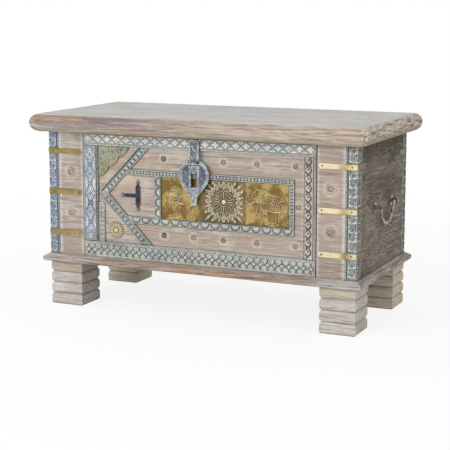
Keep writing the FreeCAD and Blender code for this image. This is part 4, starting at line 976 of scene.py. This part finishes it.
def strap_nails():
    """Small brass nails that hold each corner strap, two on its long leg and two on its end leg."""
    mesh = bmesh.new()
    for end, facing in (("front", 1), ("back", -1)):
        for name, side in (("left", -1), ("right", 1)):
            node = f"brass_straps_{end}_{name}"
            low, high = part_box(node)
            x = high.x if side > 0 else low.x
            y = low.y if facing > 0 else high.y
            long_leg, end_leg = Panel((0, y, 0), RIGHT * facing), Panel((x, 0, 0), BACK * side)
            for height in sorted({round(place.z / MM, 1) for place in centres_of(node)}):
                raise_chips(mesh, long_leg, [disc((x / MM - side * back) * facing, height, 2.5)
                                             for back in (15, 95)], 1.3, NAIL, 0.3)
                raise_chips(mesh, end_leg, [disc((y / MM + facing * back) * side, height, 2.5)
                                            for back in (13, 49)], 1.3, NAIL, 0.3)
    piece_of(mesh, "strap_nails", "chest", "nail_brass")


def hinge_screws():
    """Slotted screws, three in each fixed hinge leaf, their slots dark as painted shade."""
    spots = [(side * x, 464) for side in (-1, 1) for x in (277, 300, 323)]
    carve("hinge_screws", Panel((0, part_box("hinge_body_leaves")[1].y - 0.0057, 0), -RIGHT), [
        ([disc(x, z, 4.2, 14) for x, z in spots], 0.9, ((0.5, 0.4, WASH), (0.9, 0.1, WASH))),
        # painted shade: each slot is a dark raised dash in black iron
        (dashes(spots, 2.4, 1.6, 1.0), 0.95, LINE),
    ], "grey_iron iron iron", 0.1)


def eye_plate_nails():
    """Four nails in the plate behind each eye of the handles."""
    low, high = (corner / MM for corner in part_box("handle_eyes_right"))
    mesh = bmesh.new()
    for side in (-1, 1):
        nails = [disc(depth * side + across * 8.4, (low.z + high.z) / 2 + up * 8.4, 1.9, 8)
                 for depth in (low.y + 15, high.y - 15) for across in (-1, 1) for up in (-1, 1)]
        face = Panel((side * (post_end + 0.003), 0, 0), BACK * side)
        raise_chips(mesh, face, nails, 1.0, ((0.5, 0.4, WASH), (0.7, 0.2, WASH)), 0.1)
    piece_of(mesh, "eye_plate_nails", "chest", "bail_iron")


def hasp_marks():
    """The eyelets in the strap's channel with painted shade in their sunk middles, the arch over the slot,
    and the dark lines under it, painted shade that stands for grooves.
    """
    channel = Panel((0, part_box("hasp_strap")[0].y + 0.00225, 0), RIGHT)
    eyelets = [disc(0, 471, 4.4, 14), disc(0, 439, 3.2, 14)]
    coats = "grey_iron strap_iron iron"
    # painted shade: the eyelets' sunk middles are black iron, standing for the holes' shade
    carve("strap_eyelets", channel, [(eyelets, 1.1, HOLE)], coats, 0.1, "strap")
    tail, web = (Panel((0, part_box("hasp_disc")[0].y + depth * MM, 0), RIGHT) for depth in (1, 2))
    mesh = bmesh.new()
    for face, outline, height, steps in (
        (web, bow(0, 399, 11, 11, -4, 184, 3.2, 14), 1.2, CHIP), (web, disc(0, 408.5, 3.0), 1.9, NAIL),
        # painted shade: two dark raised lines stand for the grooves under the slot
        (web, bar(-7, 350, 7, 350, 1.8), 0.3, LINE), (tail, bar(0, 322, 0, 338, 1.6), 0.25, LINE),
    ):
        raise_chips(mesh, face, [outline], height, steps, 0)
    piece_of(mesh, "slot_arch", "disc", "grey_iron grey_iron iron")


# Embossed brass plates, all sizes in mm

GRAIN = 0.75        # distance between the points of an embossed sheet
SHEET = 0.5         # its thickness
STANDS = 0.9        # how far its plain ground stands off the field
TALLEST = 2.6       # the most that a form rises over that ground


class Relief:
    """Heights over a plate, a later form covering an earlier one; places are from its lower left corner."""

    def __init__(self, node):
        low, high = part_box(node)
        self.node, self.corner = node, low
        self.size = ((high.x - low.x) / MM, (high.z - low.z) / MM)
        spans = [np.linspace(0, size, round(size / GRAIN) + 1) for size in self.size]
        self.x, self.y = np.meshgrid(*spans)
        self.level = np.zeros_like(self.x)

    def oval(self, x, y, long, wide=None, angle=0):
        """How far each point of the plate lies outside an oval."""
        wide, turn = wide or long, math.radians(angle)
        along = (self.x - x) * math.cos(turn) + (self.y - y) * math.sin(turn)
        aside = -(self.x - x) * math.sin(turn) + (self.y - y) * math.cos(turn)
        return (np.hypot(along / long, aside / wide) - 1) * min(long, wide)

    def limb(self, *path):
        """How far each point lies outside a tapering stroke through points of (x, y, half width)."""
        stretches = []
        for (x0, y0, r0), (x1, y1, r1) in zip(path, path[1:]):
            run_x, run_y = x1 - x0, y1 - y0
            share = np.clip(((self.x - x0) * run_x + (self.y - y0) * run_y) / (run_x ** 2 + run_y ** 2), 0, 1)
            away = np.hypot(self.x - x0 - share * run_x, self.y - y0 - share * run_y)
            stretches.append(away - (r0 + (r1 - r0) * share))
        return np.minimum.reduce(stretches)

    def form(self, *parts, fill=1.0, rim=2.4, line=1.3):
        """Raises the parts together: a low rounded middle inside a bold outline."""
        beyond = np.minimum.reduce(parts)
        middle = fill * np.sin(np.clip(-beyond / 4, 0, 1) * math.pi / 2)
        outline = rim * np.sin(np.clip(1 - np.abs(beyond + line) / line, 0, 1) * math.pi / 2)
        self.level = np.where(beyond < 0, np.maximum(middle, outline), self.level)

    def stroke(self, *path, rise=2.3):
        """A single raised line."""
        line = rise * np.sin(np.clip(-self.limb(*path) / 1.2, 0, 1) * math.pi / 2)
        self.level = np.maximum(self.level, line)

    def hills(self, *path):
        """Two wavy lines of ground that draw together over each second point."""
        for gap in (0, 5):
            line = [(x, y + gap / (1 + place % 2), 1.0) for place, (x, y) in enumerate(path)]
            self.stroke(*line, rise=1.5)

    def flower(self, x, y, reach, petals, rise=2.3):
        """A small flat blossom."""
        for angle in (360 * place / petals for place in range(petals)):
            leaf = self.oval(*spoke(x, y, reach, angle), reach * 0.8, reach * 0.42, angle)
            self.form(leaf, fill=rise, rim=rise, line=0.8)

    def sheet(self, name, coat="plate_brass"):
        """Turns the heights into a thin closed sheet that stands for the plain plate, with a beaded rim."""
        rows, columns = self.level.shape
        border = np.minimum.reduce([self.x, self.y, self.size[0] - self.x, self.size[1] - self.y])
        bead = 0.55 * np.clip(1 - np.abs(border - 1.3) / 1.1, 0, 1)
        level = self.level * np.clip((border - 1.5) / 2, 0, 1) + bead
        mesh = bmesh.new()
        bmesh.ops.create_grid(mesh, x_segments=columns - 1, y_segments=rows - 1, size=0.5)
        for vert in mesh.verts:
            spot = round((vert.co.y + 0.5) * (rows - 1)), round((vert.co.x + 0.5) * (columns - 1))
            out = STANDS + min(level[spot], TALLEST)
            x, z = self.corner.x + self.x[spot] * MM, self.corner.z + self.y[spot] * MM
            vert.co = (x, field_face - out * MM, z)
        bmesh.ops.recalc_face_normals(mesh, faces=mesh.faces)
        if mesh.faces[0].normal.y > 0:
            bmesh.ops.reverse_faces(mesh, faces=mesh.faces)
        bmesh.ops.solidify(mesh, geom=mesh.faces[:], thickness=SHEET * MM)
        piece = piece_of(mesh, name, "chest", coat)
        for face in piece.data.polygons:
            face.use_smooth = True
        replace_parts(piece, self.node)


def lotus_plate():
    """A full lotus: a boss in a ring of rays, lobed petals with blades between, and leaves at the corners."""
    relief = Relief("brass_plate_centre")
    oval, form = relief.oval, relief.form
    middle = [size / 2 for size in relief.size]

    def out(angle, reach):
        return spoke(*middle, reach, angle)

    def blade(angle, foot, belly, tip, half):
        path = [(*out(angle, foot), half * 0.5), (*out(angle, belly), half), (*out(angle, tip), half * 0.3)]
        form(relief.limb(*path), fill=2.3, rim=2.5, line=1.0)

    for corner in (43.5, 136.5, 223.5, 316.5):
        for lean in (-14, 14, 0):
            blade(corner + lean, 48, 60, 76 - abs(lean) * 0.8, 4.0)
    for angle in range(15, 360, 30):
        blade(angle, 36, 48, 58, 3.4)
    for angle in range(0, 360, 30):
        form(oval(*out(angle, 50), 5.8), oval(*out(angle - 7, 43.5), 5.0), oval(*out(angle + 7, 43.5), 5.0),
             oval(*out(angle, 37), 5.0), fill=1.5, rim=2.6, line=1.1)
        form(oval(*out(angle, 44), 2.0), fill=2.5, rim=2.5)
    form(oval(*middle, 31), fill=0.0, rim=2.4)
    for angle in range(0, 360, 18):
        blade(angle, 13, 22, 28.5, 2.1)
    form(oval(*middle, 13), fill=0.4, rim=2.5, line=1.1)
    form(oval(*middle, 7), fill=2.5, rim=2.5)
    relief.sheet("lotus_plate", "lotus_brass")


def elephant_plate():
    """An elephant walking to the left with its trunk raised, a fringed cloth on its back."""
    relief = Relief("brass_plate_right")
    limb, oval, form, stroke = relief.limb, relief.oval, relief.form, relief.stroke
    relief.hills((2, 4), (30, 7), (62, 4), (92, 7), (119, 3))
    form(limb((90, 50, 9), (89, 30, 6.4), (90, 11, 5.4)))
    form(limb((42, 56, 8), (36, 40, 6), (41, 27, 5), (36, 24, 4.4)))
    form(limb((109, 70, 2.4), (117, 56, 1.8), (114, 38, 1.6), (117, 30, 3.0)), rim=2.2)
    form(oval(78, 62, 36, 23, -3), oval(60, 66, 22, 20), oval(98, 58, 17, 20))
    form(limb((104, 60, 12), (107, 36, 7.4), (114, 17, 5.4), (112, 12, 5.8)))
    form(limb((52, 54, 10), (54, 32, 7), (59, 11, 5.6)))
    form(oval(33, 78, 18, 15, 35), oval(36, 90, 9, 8),
         limb((24, 72, 8), (12, 62, 5.6), (6, 67, 4.4), (7, 80, 3.6), (10, 94, 3.2), (8, 101, 3.4)))
    form(limb((24, 64, 2.4), (12, 56, 2.2), (6, 57, 1.6)), fill=2.3)
    form(oval(46, 76, 10, 14, -16), fill=0.8, rim=2.6)
    stroke((43, 84, 1.0), (50, 80, 1.0), (51, 71, 1.0), (46, 66, 1.0))
    form(oval(27, 82, 2.2), fill=2.4)
    form(oval(76, 64, 18, 17), fill=0.8, rim=2.6)
    form(oval(76, 64, 13, 12), fill=0.8, rim=2.3)
    relief.flower(76, 64, 5.0, 8)
    for x in (60 + step * 3.6 for step in range(10)):
        stroke((x, 45, 1.0), (x - 1, 36, 1.1))
    for x, y in ((52, 12), (56, 11), (84, 12), (88, 11), (107, 13), (111, 12), (95, 46), (102, 52), (98, 66),
                 (104, 72)):
        stroke((x, y, 0.9), (x, y - 4, 0.9), rise=1.9)
    for y in (76, 82, 88):
        stroke((9 - (y - 76) * 0.1, y, 0.8), (13, y + 1, 0.8), rise=2.4)
    relief.sheet("elephant_plate")


def lion_plate():
    """A maned beast striding to the left, tail up, over low hills; the hasp covers much of it."""
    relief = Relief("brass_plate_left")
    limb, oval, form, stroke = relief.limb, relief.oval, relief.form, relief.stroke
    relief.hills((2, 3), (24, 8), (52, 4), (86, 8), (119, 4))
    form(limb((88, 54, 9), (98, 35, 5.4), (92, 21, 4.2), (99, 10, 4.4)))
    form(limb((50, 52, 8), (38, 36, 5.2), (42, 20, 4.2), (37, 9, 4.6)))
    form(oval(68, 57, 31, 14, 4))
    form(limb((84, 57, 12), (79, 37, 6), (84, 21, 4.6), (78, 10, 5)))
    form(limb((46, 58, 10), (25, 46, 5.6), (17, 31, 4.6), (11, 23, 4.8)))
    for angle in (360 * place / 16 for place in range(16)):
        form(oval(*spoke(43, 73, 14, angle), 6.4, 3.4, angle + 25), fill=1.4, line=1.0)
    form(oval(39, 73, 11.5, 10), oval(29, 70, 6.4, 5, 12), fill=1.3, rim=2.6)
    form(oval(36, 77, 1.8), oval(31, 77.5, 1.4), fill=2.4)
    stroke((25, 68, 0.9), (31, 67.5, 0.9), (34, 69.5, 0.9))
    form(limb((95, 62, 3.4), (107, 70, 2.6), (109, 84, 2.4), (101, 93, 2.4), (95, 90, 3.6)), rim=2.2)
    for x, y in ((62, 58), (70, 62), (70, 53), (78, 58), (90, 60)):
        stroke((x - 2, y, 0.9), (x + 2, y + 1.4, 0.9), rise=2.0)
    for x, y in ((12, 98), (62, 100), (110, 52), (13, 62)):
        relief.flower(x, y, 4.0, 6, 1.8)
    relief.sheet("lion_plate")


for make in (
    top_rail, bottom_rail, left_carved_stile, right_carved_stile, posts, chevrons, inner_strips, circle_strip,
    leaf_corner, roses, ornament_buds, strap_nails, hinge_screws, eye_plate_nails, hasp_marks, lotus_plate,
    elephant_plate, lion_plate,
):
    make()


# Room: pale floor, white surround, soft lamps

def pale_floor():
    """A white floor; seen directly or in a reflection it glows enough to fade into the white surround."""
    bpy.ops.mesh.primitive_plane_add(size=60, location=(0, 0, 0))
    floor = bpy.context.object
    floor.name = "studio_floor"
    mix = Finish("studio_floor", (250, 250, 249), roughness=0.9)
    mix.lay((253, 253, 252), 1, mix.noise(0.6, detail=2))
    mix.feed(mix.shader.inputs["Base Color"], mix.tone)
    rays = mix.add("ShaderNodeLightPath").outputs
    seen = mix.sum(mix.sum(rays["Is Camera Ray"], rays["Is Glossy Ray"]), rays["Is Transmission Ray"])
    share = mix.sum(mix.times(mix.ramp(mix.vectors("LENGTH", mix.place), 0.9, 2.4), 0.15), 0.85)
    glow = mix.add("ShaderNodeEmission", {"Strength": 1.0})
    sides = {0: mix.times(seen, share), 1: mix.shader.outputs[0], 2: glow.outputs[0]}
    both = mix.add("ShaderNodeMixShader", sides)
    mix.feed(mix.tree.nodes["Material Output"].inputs["Surface"], both.outputs[0])
    floor.data.materials.append(mix.material)


def white_surround(strength):
    """Lights the room at the given strength, and is plain white to the camera and in reflections."""
    world = bpy.data.worlds.new("studio")
    bpy.context.scene.world = world
    world.use_nodes = True
    nodes = world.node_tree.nodes
    sky, rays = nodes["Background"].inputs, nodes.new("ShaderNodeLightPath").outputs
    kinds = ("ShaderNodeMath", "ShaderNodeMath", "ShaderNodeMapRange")
    seen, shiny, level = (nodes.new(kind) for kind in kinds)
    sky["Color"].default_value = (1, 1, 1, 1)
    seen.use_clamp = True
    level.inputs["To Min"].default_value = strength
    for source, socket in (
        (rays["Is Camera Ray"], seen.inputs[0]), (rays["Is Glossy Ray"], shiny.inputs[0]),
        (rays["Is Transmission Ray"], shiny.inputs[1]), (shiny.outputs[0], seen.inputs[1]),
        (seen.outputs[0], level.inputs["Value"]), (level.outputs[0], sky["Strength"]),
    ):
        world.node_tree.links.new(source, socket)


def stand(name, data, place, turn):
    """Puts a lamp or the camera in the room."""
    holder = bpy.data.objects.new(name, data)
    bpy.context.scene.collection.objects.link(holder)
    holder.location, holder.rotation_euler = place, turn
    return holder


def soft_lamp(name, place, size, watts):
    """A square lamp that faces the middle of the chest."""
    lamp = bpy.data.lights.new(name, "AREA")
    lamp.size, lamp.energy = size, watts
    aim = Vector((0, 0, 0.3)) - Vector(place)
    stand(name, lamp, place, aim.to_track_quat("-Z", "Y").to_euler())


def photo_camera(place, tilt, swing, lens, drop):
    """A camera tilted down and swung to its left by angles in radians, its view dropped by so many pixels."""
    camera = bpy.data.cameras.new("camera")
    camera.sensor_width, camera.lens, camera.shift_y = 36, lens, -drop / 450
    bpy.context.scene.camera = stand("camera", camera, place, (math.pi / 2 - tilt, 0, swing))


pale_floor()
white_surround(0.76)
soft_lamp("key_lamp", (-1.3, -3.6, 2.2), size=2.0, watts=62)
photo_camera((1.4581, -3.1910, 0.8493), tilt=0.1529, swing=0.4299, lens=101.84, drop=30)
bpy.context.scene.view_settings.view_transform = "Standard"
